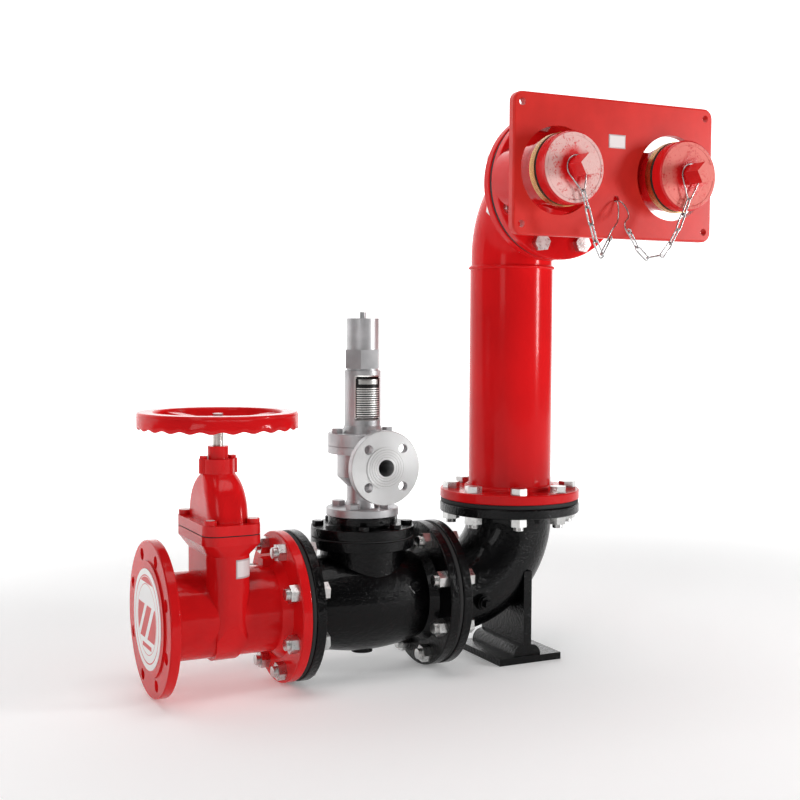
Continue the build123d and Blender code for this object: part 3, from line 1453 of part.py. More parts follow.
export_step(flange_bolts.part, "parts/flange_bolts.step")

with BuildPart() as flange_nuts:
    for side in nut_sides:
        with Locations(side):
            with PolarLocations(bolt_circle_r, bolt_count, half_pitch):
                add(hex_nut(bolt_r, bolt_flats, nut_h))
flange_nuts.part.label = "flange_nuts"
export_step(flange_nuts.part, "parts/flange_nuts.step")

# Inlet branch: flange, spreading body, two arms and the web that carries the panel
branch_body_y = branch_face_y + flange_back
branch_end_y = branch_body_y + branch_depth
web_front_y = panel_front_y - panel_depth - web_gap
with BuildPart() as inlet_branch:
    with BuildSketch(Plane.XZ.offset(branch_face_y)):
        with Locations((0, inlet_z)):
            Circle(face_r)
    extrude(amount=face_t)
    with BuildSketch(Plane.XZ.offset(branch_face_y + face_t)):
        with Locations((0, inlet_z)):
            Circle(flange_r)
    extrude(amount=flange_t)
    with BuildSketch(Plane.XZ.offset(branch_body_y)):
        with Locations((0, inlet_z)):
            Circle(branch_hub_r)
    with BuildSketch(Plane.XZ.offset(branch_end_y)):
        with Locations((0, inlet_z)):
            Ellipse(branch_half_x, branch_half_z)
    loft()
    with BuildSketch(Plane.XZ.offset(branch_end_y - branch_depth / 2)):
        with Locations((-inlet_x, inlet_z), (inlet_x, inlet_z)):
            Circle(arm_r)
    extrude(amount=arm_end_y - branch_end_y + branch_depth / 2)
    with BuildSketch(Plane.XZ.offset(arm_end_y)):
        with Locations((-inlet_x, inlet_z), (inlet_x, inlet_z)):
            Circle(arm_thread_r)
    extrude(amount=arm_thread_length)
    with BuildSketch(Plane.XZ.offset(web_front_y)):
        with Locations((0, panel_z)):
            Rectangle(2 * inlet_x, web_h)
    extrude(amount=-web_t)
    with BuildSketch(Plane.XZ.offset(branch_face_y)):
        with Locations((0, inlet_z)):
            Circle(bore_r)
    extrude(amount=flange_back, mode=Mode.SUBTRACT)
    with BuildSketch(Plane.XZ.offset(branch_body_y)):
        with Locations((0, inlet_z)):
            Circle(bore_r)
    with BuildSketch(Plane.XZ.offset(branch_end_y - branch_wall)):
        with Locations((0, inlet_z)):
            Ellipse(branch_half_x - branch_wall, branch_half_z - branch_wall)
    loft(mode=Mode.SUBTRACT)
    with BuildSketch(Plane.XZ.offset(branch_end_y - branch_depth / 2 + branch_wall)):
        with Locations((-inlet_x, inlet_z), (inlet_x, inlet_z)):
            Circle(arm_bore_r)
    extrude(amount=arm_end_y + arm_thread_length - branch_end_y + branch_depth / 2, mode=Mode.SUBTRACT)
    with BuildSketch(Plane.XZ.offset(branch_face_y)):
        with Locations((0, inlet_z)):
            with PolarLocations(bolt_circle_r, bolt_count, half_pitch):
                Circle(bolt_hole_r)
    extrude(amount=flange_back, mode=Mode.SUBTRACT)
    with BuildSketch(Plane.XZ.offset(web_front_y)):
        with Locations((0, panel_z - panel_bolt_pitch / 2), (0, panel_z + panel_bolt_pitch / 2)):
            Circle(panel_bolt_hole_r)
    extrude(amount=-web_t, mode=Mode.SUBTRACT)
    fillet(rim_edges(inlet_branch, flange_r), flange_edge)
inlet_branch.part.label = "inlet_branch"
export_step(inlet_branch.part, "parts/inlet_branch.step")

# Wall panel: cast tray with collared inlet holes, fixing bosses and a chain hole
panel_back_y = panel_front_y - panel_depth
chain_hole_z = panel_z - chain_hole_drop
with BuildPart() as wall_panel:
    with BuildSketch(Plane.XZ.offset(panel_back_y)):
        with Locations((0, panel_z)):
            RectangleRounded(panel_w, panel_h, panel_corner)
    extrude(amount=panel_depth)
    fillet(wall_panel.faces().sort_by(Axis.Y)[0].edges(), panel_edge)
    with BuildSketch(Plane.XZ.offset(panel_back_y)):
        with Locations((0, panel_z)):
            RectangleRounded(panel_w - 2 * panel_wall, panel_h - 2 * panel_wall, panel_corner - panel_wall)
        with Locations((-inlet_x, inlet_z), (inlet_x, inlet_z)):
            Circle(panel_hole_r + panel_collar, mode=Mode.SUBTRACT)
        with Locations((0, panel_z)):
            with GridLocations(panel_fix_x, panel_fix_z, 2, 2):
                Circle(panel_boss_r, mode=Mode.SUBTRACT)
        with Locations((0, panel_z - panel_bolt_pitch / 2), (0, panel_z + panel_bolt_pitch / 2)):
            Circle(panel_boss_r, mode=Mode.SUBTRACT)
    extrude(amount=panel_depth - panel_wall, mode=Mode.SUBTRACT)
    with BuildSketch(Plane.XZ.offset(web_front_y)):
        with Locations((0, panel_z - panel_bolt_pitch / 2), (0, panel_z + panel_bolt_pitch / 2)):
            Circle(panel_boss_r)
    extrude(amount=panel_back_y - web_front_y)
    with BuildSketch(Plane.XZ.offset(panel_back_y)):
        with Locations((-inlet_x, inlet_z), (inlet_x, inlet_z)):
            Circle(panel_hole_r)
        with Locations((0, panel_z)):
            with GridLocations(panel_fix_x, panel_fix_z, 2, 2):
                Circle(panel_fix_hole_r)
        with Locations((0, chain_hole_z)):
            Circle(chain_hole_r)
    extrude(amount=panel_depth, mode=Mode.SUBTRACT)
    with BuildSketch(Plane.XZ.offset(web_front_y)):
        with Locations((0, panel_z - panel_bolt_pitch / 2), (0, panel_z + panel_bolt_pitch / 2)):
            Circle(panel_bolt_r + thread_gap)
    extrude(amount=panel_bolt_length - web_t + 2, mode=Mode.SUBTRACT)
wall_panel.part.label = "wall_panel"
export_step(wall_panel.part, "parts/wall_panel.step")

with BuildPart() as panel_bolts:
    with Locations(facing(0, -(web_front_y - web_t), panel_z, (0, 1, 0))):
        with GridLocations(0, panel_bolt_pitch, 1, 2):
            add(hex_bolt(panel_bolt_r, panel_bolt_length, panel_bolt_flats, panel_bolt_head_h))
panel_bolts.part.label = "panel_bolts"
export_step(panel_bolts.part, "parts/panel_bolts.step")

# Depths of the hose couplings from the front of the arms
ring_y = arm_end_y + coupling_length
lip_y = ring_y + ring_t - ring_lip_t
washer_y = ring_y + ring_t
cap_back_y = washer_y + washer_t + running_gap
cap_face_y = cap_back_y + cap_disc_t
lug_y0 = lip_y - lug_gap - lug_t
spigot_r = ring_lip_r - lug_gap


def coupling_shape(x):
    """Screwed coupling body on an arm of the branch."""
    with BuildPart() as coupling:
        with BuildSketch(Plane.XZ.offset(arm_end_y)):
            with Locations((x, inlet_z)):
                Circle(coupling_r)
                Circle(arm_thread_r + thread_gap, mode=Mode.SUBTRACT)
        extrude(amount=arm_thread_length)
        with BuildSketch(Plane.XZ.offset(arm_end_y + arm_thread_length)):
            with Locations((x, inlet_z)):
                Circle(coupling_r)
                Circle(arm_bore_r, mode=Mode.SUBTRACT)
        extrude(amount=coupling_length - arm_thread_length)
    return coupling.part


def ring_shape(x):
    """Ring with an inner lip behind which the lugs of the cap turn, and slots that let them in."""
    with BuildPart() as ring:
        with BuildSketch(Plane.XZ.offset(ring_y)):
            with Locations((x, inlet_z)):
                Circle(ring_r)
                Circle(ring_groove_r, mode=Mode.SUBTRACT)
        extrude(amount=ring_t - ring_lip_t)
        with BuildSketch(Plane.XZ.offset(lip_y)):
            with Locations((x, inlet_z)):
                Circle(ring_r)
                Circle(ring_lip_r, mode=Mode.SUBTRACT)
                with PolarLocations((ring_lip_r + ring_groove_r) / 2, lug_count, 90 + 180 / lug_count):
                    Rectangle(ring_groove_r - ring_lip_r + 4, lug_w + 4 * lug_gap, mode=Mode.SUBTRACT)
        extrude(amount=ring_lip_t)
    return ring.part


def washer_shape(x):
    """Rubber washer between ring and cap."""
    with BuildPart() as washer:
        with BuildSketch(Plane.XZ.offset(washer_y)):
            with Locations((x, inlet_z)):
                Circle(washer_r)
                Circle(ring_groove_r, mode=Mode.SUBTRACT)
        extrude(amount=washer_t)
    return washer.part


def cap_shape(x):
    """Cap: disc, hollow spigot with turning lugs, round neck and five-sided key."""
    with BuildPart() as cap:
        with BuildSketch(Plane.XZ.offset(cap_back_y)):
            with Locations((x, inlet_z)):
                Circle(cap_disc_r)
        extrude(amount=cap_disc_t)
        chamfer(cap.faces().sort_by(Axis.Y)[0].edges(), cap_disc_edge)
        with BuildSketch(Plane.XZ.offset(lug_y0)):
            with Locations((x, inlet_z)):
                Circle(spigot_r)
        extrude(amount=cap_back_y - lug_y0)
        with BuildSketch(Plane.XZ.offset(lug_y0)):
            with Locations((x, inlet_z)):
                with PolarLocations((spigot_r + ring_groove_r) / 2 - 2, lug_count, 90):
                    Rectangle(ring_groove_r - spigot_r, lug_w)
        extrude(amount=lug_t)
        with BuildSketch(Plane.XZ.offset(cap_face_y)):
            with Locations((x, inlet_z)):
                Circle(cap_neck_r)
        extrude(amount=cap_neck_h)
        with BuildSketch(Plane.XZ.offset(cap_face_y + cap_neck_h)):
            with Locations((x, inlet_z)):
                RegularPolygon(cap_key_r, 5, rotation=172)
        extrude(amount=cap_key_h)
        with BuildSketch(Plane.XZ.offset(lug_y0)):
            with Locations((x, inlet_z)):
                Circle(spigot_r - spigot_wall)
        extrude(amount=cap_back_y - lug_y0 + cap_hollow, mode=Mode.SUBTRACT)
    return cap.part


left_coupling = coupling_shape(-inlet_x)
left_coupling.label = "left_coupling"
export_step(left_coupling, "parts/left_coupling.step")

right_coupling = coupling_shape(inlet_x)
right_coupling.label = "right_coupling"
export_step(right_coupling, "parts/right_coupling.step")

left_coupling_ring = ring_shape(-inlet_x)
left_coupling_ring.label = "left_coupling_ring"
export_step(left_coupling_ring, "parts/left_coupling_ring.step")

right_coupling_ring = ring_shape(inlet_x)
right_coupling_ring.label = "right_coupling_ring"
export_step(right_coupling_ring, "parts/right_coupling_ring.step")

left_cap_washer = washer_shape(-inlet_x)
left_cap_washer.label = "left_cap_washer"
export_step(left_cap_washer, "parts/left_cap_washer.step")

right_cap_washer = washer_shape(inlet_x)
right_cap_washer.label = "right_cap_washer"
export_step(right_cap_washer, "parts/right_cap_washer.step")

left_cap = cap_shape(-inlet_x)
left_cap.label = "left_cap"
export_step(left_cap, "parts/left_cap.step")

right_cap = cap_shape(inlet_x)
right_cap.label = "right_cap"
export_step(right_cap, "parts/right_cap.step")

# Chains: a loop round the neck of the cap, welded links, and a wire through the panel
chain_y = cap_face_y + chain_stand
link_end_r = link_w / 2 - link_wire_r
link_half = link_pitch / 2 + link_wire_r
link_straight = link_half - link_end_r
link_play = link_end_r - 2 * link_wire_r - hook_gap
eye_play = eye_r - wire_r - link_wire_r - hook_gap


def wire_along(path, radius):
    """Round wire swept along a path."""
    with BuildPart() as wire:
        with BuildSketch(Plane(origin=path @ 0, z_dir=path % 0)):
            Circle(radius)
        sweep(path=path)
    return wire.part


def link_shape():
    """One oval link in the ground plane, its long axis along the first axis."""
    with BuildPart() as link:
        with BuildSketch(Plane.YZ.offset(-link_straight)):
            with Locations((-link_end_r, 0), (link_end_r, 0)):
                Circle(link_wire_r)
        extrude(amount=2 * link_straight)
        for end in (-1, 1):
            with BuildSketch(Plane.YZ.offset(end * link_straight)):
                with Locations((link_end_r, 0)):
                    Circle(link_wire_r)
            revolve(axis=Axis((end * link_straight, 0, 0), (0, 0, -end)), revolution_arc=180)
    return link.part


def loop_shape(x, start):
    """Drop-shaped wire loop from the neck of a cap to the eye that holds its chain."""
    reach = sqrt(start[0] ** 2 + start[1] ** 2)
    tilt = asin((loop_r - eye_r) / reach)
    near = Vector(loop_r * sin(tilt), loop_r * cos(tilt))
    far = Vector(reach + eye_r * sin(tilt), eye_r * cos(tilt))
    with BuildLine(Plane(origin=(x, -chain_y, inlet_z), x_dir=(start[0], 0, start[1]), z_dir=(0, -1, 0))) as drop:
        Line((near.X, near.Y), (far.X, far.Y))
        ThreePointArc((far.X, far.Y), (reach + eye_r, 0), (far.X, -far.Y))
        Line((far.X, -far.Y), (near.X, -near.Y))
        ThreePointArc((near.X, -near.Y), (-loop_r, 0), (near.X, near.Y))
    return wire_along(drop.wire(), wire_r)


def hanger_shape(centre, along, side):
    """Wire with its end bent round into an eye, that runs up and back through the chain hole."""
    aside = along.cross(Vector(0, 1, 0))
    top = centre + aside * eye_r
    rest_x = side * 2.2 * wire_r
    rest_z = chain_hole_z - sqrt((chain_hole_r - wire_r - hook_gap) ** 2 - rest_x**2)
    with BuildLine(Plane(origin=centre, x_dir=aside, z_dir=(0, 1, 0))) as eye:
        CenterArc((0, 0), eye_r, 80, 280)
    with BuildLine() as lead:
        Spline(
            (top.X, top.Y, top.Z),
            (side * hanger_bow_x, -(panel_front_y + hanger_bow_y), (top.Z + rest_z) / 2 + hanger_bow_rise),
            (rest_x, -(panel_front_y + hanger_lip), rest_z),
            (rest_x, -(panel_front_y - panel_wall - hanger_lip / 2), rest_z),
            (side * hanger_tail, -(panel_front_y - panel_wall - hanger_back), rest_z),
            tangents=(along, (side, 0, 0)),
        )
    return wire_along(Wire(eye.edges() + lead.edges()), wire_r)


def chain_shape(x, start, headings, side):
    """Loop, links and hanger of one chain as separate solids."""
    link = link_shape()
    pieces = [loop_shape(x, start)]
    bend = Vector(x + start[0], -chain_y, inlet_z + start[1])
    play = eye_play
    for number, heading in enumerate(headings):
        along = Vector(cos(radians(heading)), 0, sin(radians(heading)))
        if number % 2:
            middle = bend + along * link_straight
            across = Vector(0, -1, 0)
            bend = middle + along * link_straight
            play = link_play
        else:
            middle = bend + along * (play + link_half)
            across = along.cross(Vector(0, 1, 0))
            hold = eye_play if number + 1 == len(headings) else link_play
            bend = middle + along * (link_half + hold)
        pieces.append(link.moved(Location(Plane(origin=middle, x_dir=along, z_dir=across))))
    pieces.append(hanger_shape(bend, along, side))
    with BuildPart() as chain:
        add(pieces)
    return chain.part


left_chain = chain_shape(-inlet_x, left_start, left_headings, -1)
left_chain.label = "left_chain"
export_step(left_chain, "parts/left_chain.step")

right_chain = chain_shape(inlet_x, right_start, right_headings, 1)
right_chain.label = "right_chain"
export_step(right_chain, "parts/right_chain.step")
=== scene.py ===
"""Finish of a flanged fire department connection: paint, metals, trim pieces, spring and studio."""

from math import pi, radians

import bpy
import numpy as np
from mathutils import Matrix, Vector


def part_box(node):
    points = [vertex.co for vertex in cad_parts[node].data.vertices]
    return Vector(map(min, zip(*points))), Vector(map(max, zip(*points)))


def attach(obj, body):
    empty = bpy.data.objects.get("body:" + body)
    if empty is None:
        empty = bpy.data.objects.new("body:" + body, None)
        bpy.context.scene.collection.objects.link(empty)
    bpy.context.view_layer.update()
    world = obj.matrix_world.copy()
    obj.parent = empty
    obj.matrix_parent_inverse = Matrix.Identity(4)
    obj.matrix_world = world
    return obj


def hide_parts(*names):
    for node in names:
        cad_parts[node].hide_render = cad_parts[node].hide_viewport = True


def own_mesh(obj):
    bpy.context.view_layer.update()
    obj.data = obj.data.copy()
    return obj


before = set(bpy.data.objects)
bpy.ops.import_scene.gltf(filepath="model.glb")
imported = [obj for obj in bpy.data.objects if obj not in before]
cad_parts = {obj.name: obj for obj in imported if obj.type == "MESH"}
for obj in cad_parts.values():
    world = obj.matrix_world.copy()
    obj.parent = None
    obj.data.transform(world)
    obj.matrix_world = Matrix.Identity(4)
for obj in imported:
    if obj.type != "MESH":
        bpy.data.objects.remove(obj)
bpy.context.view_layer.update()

bl_info = {
    "name": "Fire connection finish",
    "version": (1, 0, 0),
    "blender": (4, 5, 0),
    "location": "View3D > Sidebar > Finish",
    "description": "Paints the castings, adds plate, threads, welds, rims and spring, and sets the studio",
    "category": "Object",
}

ROOT = "connection"
WHEEL_BODY = "wheel"
RED_CASTINGS = (
    "gate_valve_body",
    "gate_valve_bonnet",
    "stem_gland",
    "gland_bolts",
    "handwheel",
    "inlet_branch",
    "left_coupling",
    "right_coupling",
)
RED_STEELWORK = ("riser_lower_flange", "riser_pipe", "riser_bend", "riser_upper_flange")
BLACK_CASTINGS = ("check_valve_body", "check_valve_cover", "cover_bolts", "foot_elbow", "drain_plug")
SILVER_CASTINGS = ("relief_bonnet", "relief_cap", "relief_flange_bolts", "relief_bonnet_bolts")
ZINC_PIECES = ("flange_bolts", "flange_nuts", "panel_bolts", "handwheel_washer", "handwheel_bolt")
CHAINS = ("left_chain", "right_chain")
TURNED_STEEL = (
    "gate_stem",
    "hinge_pin",
    "relief_spindle",
    "relief_disc",
    "relief_seat",
    "adjusting_screw",
    "adjuster_lock_nut",
    "lower_spring_plate",
    "upper_spring_plate",
)
BRASS_PIECES = ("wedge_nut", "seat_ring")
COUPLING_RINGS = ("left_coupling_ring", "right_coupling_ring")
RUBBER_PIECES = (
    "gate_wedge",
    "bonnet_gasket",
    "cover_gasket",
    "relief_gasket",
    "gate_check_gasket",
    "check_elbow_gasket",
    "elbow_riser_gasket",
    "bend_branch_gasket",
    "left_cap_washer",
    "right_cap_washer",
)
IRON_PIECES = ("clapper", "clapper_arm")
# Places in the part's frame, in metres.
RELIEF_AXIS = (-0.3325, 0.0)
OUTLET_CENTRE = (-0.3325, -0.108, 0.410)
RUN_AXIS_Z = 0.145
INLET_Z = 0.945
INLET_X = 0.12198
CAP_FACE_Y = (-0.4045, -0.4028)
CAP_KEY_Y = -0.4508
GATE_X = -0.6235
NECK_CORNER = (GATE_X + 0.006, -0.052)
NECK_CORNER_RADIUS = 0.034
BOLT_CIRCLE_RADIUS = 0.120
BOLTS_PER_JOINT = 8
NUT_SEAT = 0.0235
# Flange joints: the middle of each gasket, and the way that its bolts point.
JOINTS = {
    "gate": ((-0.4885, 0.0, RUN_AXIS_Z), (-1.0, 0.0, 0.0)),
    "elbow": ((-0.1875, 0.0, RUN_AXIS_Z), (-1.0, 0.0, 0.0)),
    "riser": ((0.0, 0.0, 0.3215), (0.0, 0.0, -1.0)),
    "branch": ((0.0, -0.1535, INLET_Z), (0.0, 1.0, 0.0)),
}


class Value:
    """An output socket of a finish; arithmetic on it adds Math nodes."""

    def __init__(self, finish, link):
        self.finish = finish
        self.link = link

    def _math(self, operation, *values):
        return self.finish.node("ShaderNodeMath", {"operation": operation}, dict(enumerate(values)))

    def __add__(self, other):
        return self._math("ADD", self, other)

    def __radd__(self, other):
        return self._math("ADD", other, self)

    def __sub__(self, other):
        return self._math("SUBTRACT", self, other)

    def __rsub__(self, other):
        return self._math("SUBTRACT", other, self)

    def __mul__(self, other):
        return self._math("MULTIPLY", self, other)

    def __rmul__(self, other):
        return self._math("MULTIPLY", other, self)

    def __pow__(self, other):
        return self._math("POWER", self, other)

    def __abs__(self):
        return self._math("ABSOLUTE", self)

    def __lt__(self, other):
        return self._math("LESS_THAN", self, other)

    def __gt__(self, other):
        return self._math("GREATER_THAN", self, other)

    def sine(self):
        return self._math("SINE", self)

    def step(self, low, high):
        """Smooth step from 0 at low to 1 at high."""
        return self.finish.node(
            "ShaderNodeMapRange",
            {"interpolation_type": "SMOOTHSTEP"},
            {"Value": self, "From Min": low, "From Max": high, "To Min": 0.0, "To Max": 1.0},
        )

    def clipped(self):
        """The value held between 0 and 1."""
        return self.finish.node("ShaderNodeClamp", {}, {"Value": self, "Min": 0.0, "Max": 1.0})


class Finish:
    """A node material around one Principled shader; constants go straight on its sockets."""

    def __init__(self, name, **constants):
        self.material = bpy.data.materials.new(name)
        self.material.use_nodes = True
        self.tree = self.material.node_tree
        self.shader = next(n for n in self.tree.nodes if n.type == "BSDF_PRINCIPLED")
        for socket, value in constants.items():
            self.shader.inputs[socket.replace("_", " ")].default_value = value
        self.place = self.node("ShaderNodeTexCoord", output="Object")

    def node(self, kind, settings=None, inputs=None, output=0):
        """Adds a node of that type, sets it up, feeds its sockets and gives one of its outputs."""
        made = self.tree.nodes.new(kind)
        for key, value in (settings or {}).items():
            setattr(made, key, value)
        for key, value in (inputs or {}).items():
            if isinstance(value, Value):
                self.tree.links.new(value.link, made.inputs[key])
            else:
                made.inputs[key].default_value = value
        return Value(self, made.outputs[output])

    def feed(self, socket, value):
        self.tree.links.new(value.link, self.shader.inputs[socket])

    def axes(self):
        """Object coordinates as three values."""
        parts = "ShaderNodeSeparateXYZ"
        split = self.node(parts, {}, {"Vector": self.place}).link.node
        return [Value(self, output) for output in split.outputs]

    def stretched(self, x, y, z):
        """Object coordinates scaled by a factor on each axis."""
        return self.node("ShaderNodeMapping", {}, {"Vector": self.place, "Scale": (x, y, z)})

    def noise(self, scale, detail=2.0, roughness=0.5, at=None):
        vector = at or self.place
        return self.node(
            "ShaderNodeTexNoise",
            {},
            {"Vector": vector, "Scale": scale, "Detail": detail, "Roughness": roughness},
        )

    def cells(self, scale):
        """Distance to the nearest cell point, for specks and flakes."""
        return self.node("ShaderNodeTexVoronoi", {}, {"Vector": self.place, "Scale": scale})

    def mix(self, share, low, high):
        """Colour between low and high by a share."""
        return self.node(
            "ShaderNodeMix",
            {"data_type": "RGBA"},
            {0: share, 6: low, 7: high},
            output=2,
        )

    def relief(self, height, depth):
        """Feeds a height in shares of a depth in metres to the shader's normal."""
        bump = self.node("ShaderNodeBump", {}, {"Strength": 1.0, "Distance": depth, "Height": height})
        self.feed("Normal", bump)


def shade(colour, factor=1.0):
    """An opaque colour with its brightness multiplied."""
    return (*[min(1.0, part * factor) for part in colour], 1.0)


def coat_nodes(finish, names):
    """Puts one finish on the named CAD nodes."""
    for name in names:
        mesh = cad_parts[name].data
        mesh.materials.clear()
        mesh.materials.append(finish.material)


def paint_finish(name, colour, lump, peel, lump_depth, roughness=0.07, index=1.20, coat=0.14):
    """Gloss enamel over a casting: broad lumps, fine peel, slow colour drift and thin spots."""
    paint = Finish(name, Coat_Weight=coat, Coat_Roughness=0.05, IOR=index)
    lumps = paint.noise(lump, 3.0, 0.55)
    skin = paint.noise(peel, 2.0, 0.5)
    drift = paint.noise(5.0, 3.0, 0.6)
    specks = paint.cells(240.0).step(0.10, 0.02) * paint.noise(22.0).step(0.58, 0.70)
    body = paint.mix(drift.step(0.3, 0.7), shade(colour, 0.86), shade(colour, 1.12))
    worn = paint.mix(specks * 0.35, body, shade(colour, 0.45))
    paint.feed("Base Color", worn)
    paint.feed("Roughness", roughness + 0.10 * drift + 0.04 * skin)
    paint.relief(0.75 * lumps + 0.25 * skin + 0.10 * specks, lump_depth)
    return paint


def steelwork_finish(name, colour):
    """Gloss enamel on drawn pipe: long soft runs down the wall, fine peel and a few pin specks."""
    paint = Finish(name, Coat_Weight=0.08, Coat_Roughness=0.04, IOR=1.16)
    runs = paint.noise(1.0, 3.0, 0.6, at=paint.stretched(46.0, 46.0, 5.0))
    peel = paint.noise(310.0, 2.0)
    drift = paint.noise(4.0, 3.0)
    pins = paint.cells(60.0).step(0.045, 0.015) * paint.noise(15.0).step(0.55, 0.68)
    body = paint.mix(drift.step(0.3, 0.7), shade(colour, 0.9), shade(colour, 1.1))
    paint.feed("Base Color", paint.mix(pins * 0.8, body, shade(colour, 0.12)))
    paint.feed("Roughness", 0.08 + 0.12 * runs + 0.04 * peel)
    paint.relief(0.7 * runs + 0.22 * peel - 0.3 * pins, 0.00035)
    return paint


def panel_finish(colour):
    """Satin red enamel of the panel: broad cloudy gloss and shallow casting ripple."""
    paint = Finish("panel_red_enamel", Coat_Weight=0.15, Coat_Roughness=0.22, IOR=1.28)
    cloud = paint.noise(9.0, 4.0, 0.6)
    peel = paint.noise(280.0, 2.0)
    ripple = paint.noise(34.0, 2.0)
    paint.feed("Base Color", paint.mix(cloud.step(0.3, 0.72), shade(colour, 0.92), shade(colour, 1.12)))
    paint.feed("Roughness", 0.30 + 0.14 * cloud)
    paint.relief(0.7 * ripple + 0.3 * peel, 0.0003)
    return paint


def silver_finish(name, colour, outlet=False):
    """Aluminium paint with flake and sand texture; the outlet face has turned rings about its axis."""
    paint = Finish(name, IOR=1.5)
    sand = paint.noise(420.0, 3.0, 0.6)
    lumps = paint.noise(95.0, 2.0)
    flake = paint.cells(2600.0)
    drift = paint.noise(14.0, 3.0)
    body = paint.mix(drift.step(0.3, 0.7), shade(colour, 0.66), shade(colour, 1.05))
    metal = 0.45 + 0.22 * flake
    rough = 0.23 + 0.16 * sand + 0.12 * drift
    height = 0.55 * lumps + 0.45 * sand
    if outlet:
        x, y, z = paint.axes()
        across = x - OUTLET_CENTRE[0]
        above = z - OUTLET_CENTRE[2]
        reach = (across * across + above * above) ** 0.5
        face = (y < OUTLET_CENTRE[1] + 0.0029) * (reach < 0.0698)
        grooves = (reach * (2 * pi / 0.0048)).sine().step(0.55, 0.95)
        grooves = grooves * (reach > 0.019) * (reach < 0.0385)
        turned = (reach * (2 * pi / 0.0009)).sine() * 0.5 + 0.5
        body = paint.mix(face * 0.75, body, shade((0.66, 0.66, 0.655)))
        # Painted shade: the grooves on the outlet face are darkened where they sink in.
        body = paint.mix(face * grooves * 0.6, body, shade((0.42, 0.42, 0.41)))
        rough = rough + face * (0.10 * turned - 0.06)
        height = height * (1 - face) + face * (0.12 * turned + 0.5 - 0.9 * grooves)
    paint.feed("Base Color", body)
    paint.feed("Metallic", metal.clipped())
    paint.feed("Roughness", rough)
    paint.relief(height, 0.0005)
    return paint


def zinc_finish(name, colour, depth=0.00012):
    """Bright zinc plate: cloudy passivation, fine scuffs and duller hollows."""
    zinc = Finish(name, Metallic=1.0)
    cloud = zinc.noise(60.0, 4.0, 0.6)
    scuff = zinc.noise(900.0, 2.0)
    zinc.feed("Base Color", zinc.mix(cloud.step(0.3, 0.7), shade(colour, 0.78), shade(colour, 1.08)))
    zinc.feed("Roughness", 0.15 + 0.20 * cloud + 0.08 * scuff)
    zinc.relief(0.6 * cloud + 0.4 * scuff, depth)
    return zinc


def turned_finish(name, colour, axis, pitch=0.0011):
    """Turned metal: fine tool rings along one axis, with uneven polish."""
    metal = Finish(name, Metallic=1.0)
    along = metal.axes()[axis]
    rings = (along * (2 * pi / pitch)).sine() * 0.5 + 0.5
    cloud = metal.noise(40.0, 3.0)
    metal.feed("Base Color", metal.mix(cloud.step(0.3, 0.7), shade(colour, 0.82), shade(colour, 1.05)))
    metal.feed("Roughness", 0.18 + 0.10 * rings + 0.12 * cloud)
    metal.relief(rings, 0.00006)
    return metal


def rubber_finish(colour):
    """Matt moulded rubber with bloom and a fine grain."""
    rubber = Finish("gasket_rubber", IOR=1.45)
    bloom = rubber.noise(30.0, 3.0)
    grain = rubber.noise(1500.0, 2.0)
    rubber.feed("Base Color", rubber.mix(bloom, shade(colour, 0.7), shade(colour, 1.8)))
    rubber.feed("Roughness", 0.62 + 0.2 * bloom)
    rubber.relief(grain, 0.00008)
    return rubber


def cap_finish(name, side, colour, pale):
    """Red enamel cap: pale painted highlight on the front face and key end, with red left in specks, middle
    and rim.
    """
    paint = Finish(name, Coat_Weight=0.2, Coat_Roughness=0.12, IOR=1.35)
    x, y, z = paint.axes()
    across = x - side * INLET_X
    above = z - INLET_Z
    reach = (across * across + above * above) ** 0.5
    grain = paint.noise(260.0, 3.0, 0.65)
    patch = paint.noise(70.0, 3.0, 0.6)
    face = (y < CAP_FACE_Y[1]) * (y > CAP_FACE_Y[0]) * (reach > 0.0168)
    key = y < CAP_KEY_Y
    kept = (0.0330 - reach + 0.016 * (patch - 0.5)).step(-0.008, 0.010) + reach.step(0.0590, 0.0607)
    speck = (grain * 0.6 + patch * 0.4).step(0.52, 0.62)
    # Painted highlight: the pale colour on the front face and key end stands in for light falling on them;
    # red is kept in specks, middle and rim.
    painted_highlight = (face * (1 - kept.clipped()) * (1 - 0.75 * speck) + key * (1 - 0.5 * speck)).clipped()
    drift = paint.noise(12.0, 3.0)
    body = paint.mix(drift.step(0.3, 0.7), shade(colour, 0.85), shade(colour, 1.1))
    paint.feed("Base Color", paint.mix(painted_highlight, body, shade(pale)))
    paint.feed("Roughness", 0.18 + 0.12 * drift + 0.26 * painted_highlight)
    bead = face * reach.step(0.0535, 0.0550)
    paint.relief(0.6 * patch + 0.4 * grain - 0.3 * painted_highlight + 1.2 * bead, 0.0009)
    return paint


def card_finish(red, white):
    """Printed card: white ground, thin red rings near the rim and a red field with slanted bars."""
    card = Finish("inlet_card", IOR=1.45, Coat_Weight=0.25, Coat_Roughness=0.2)
    x, y, z = card.axes()
    above = z - RUN_AXIS_Z
    reach = (y * y + above * above) ** 0.5
    rings = (abs(reach - 0.0795) < 0.0012) + (abs(reach - 0.0640) < 0.0006)
    slope = y * 0.80 + above * 0.60
    bars = ((abs(slope - 0.021) < 0.006) + (abs(slope + 0.017) < 0.007)).clipped()
    field = (above < 0.026) * (above > -0.036) * (reach < 0.0610) * (1 - bars)
    crown = (above > 0.066) * (reach < 0.0770)
    sole = (abs(above + 0.049) < 0.004) * (abs(y) < 0.030)
    ink = (rings + field + crown + sole).clipped()
    fibre = card.noise(500.0, 3.0)
    cloud = card.noise(25.0, 2.0)
    paper = card.mix(cloud, shade(white, 0.93), shade(white, 1.0))
    card.feed("Base Color", card.mix(ink, paper, card.mix(cloud, shade(red, 0.9), shade(red, 1.1))))
    card.feed("Roughness", 0.34 + 0.2 * fibre)
    card.relief(fibre, 0.00005)
    return card


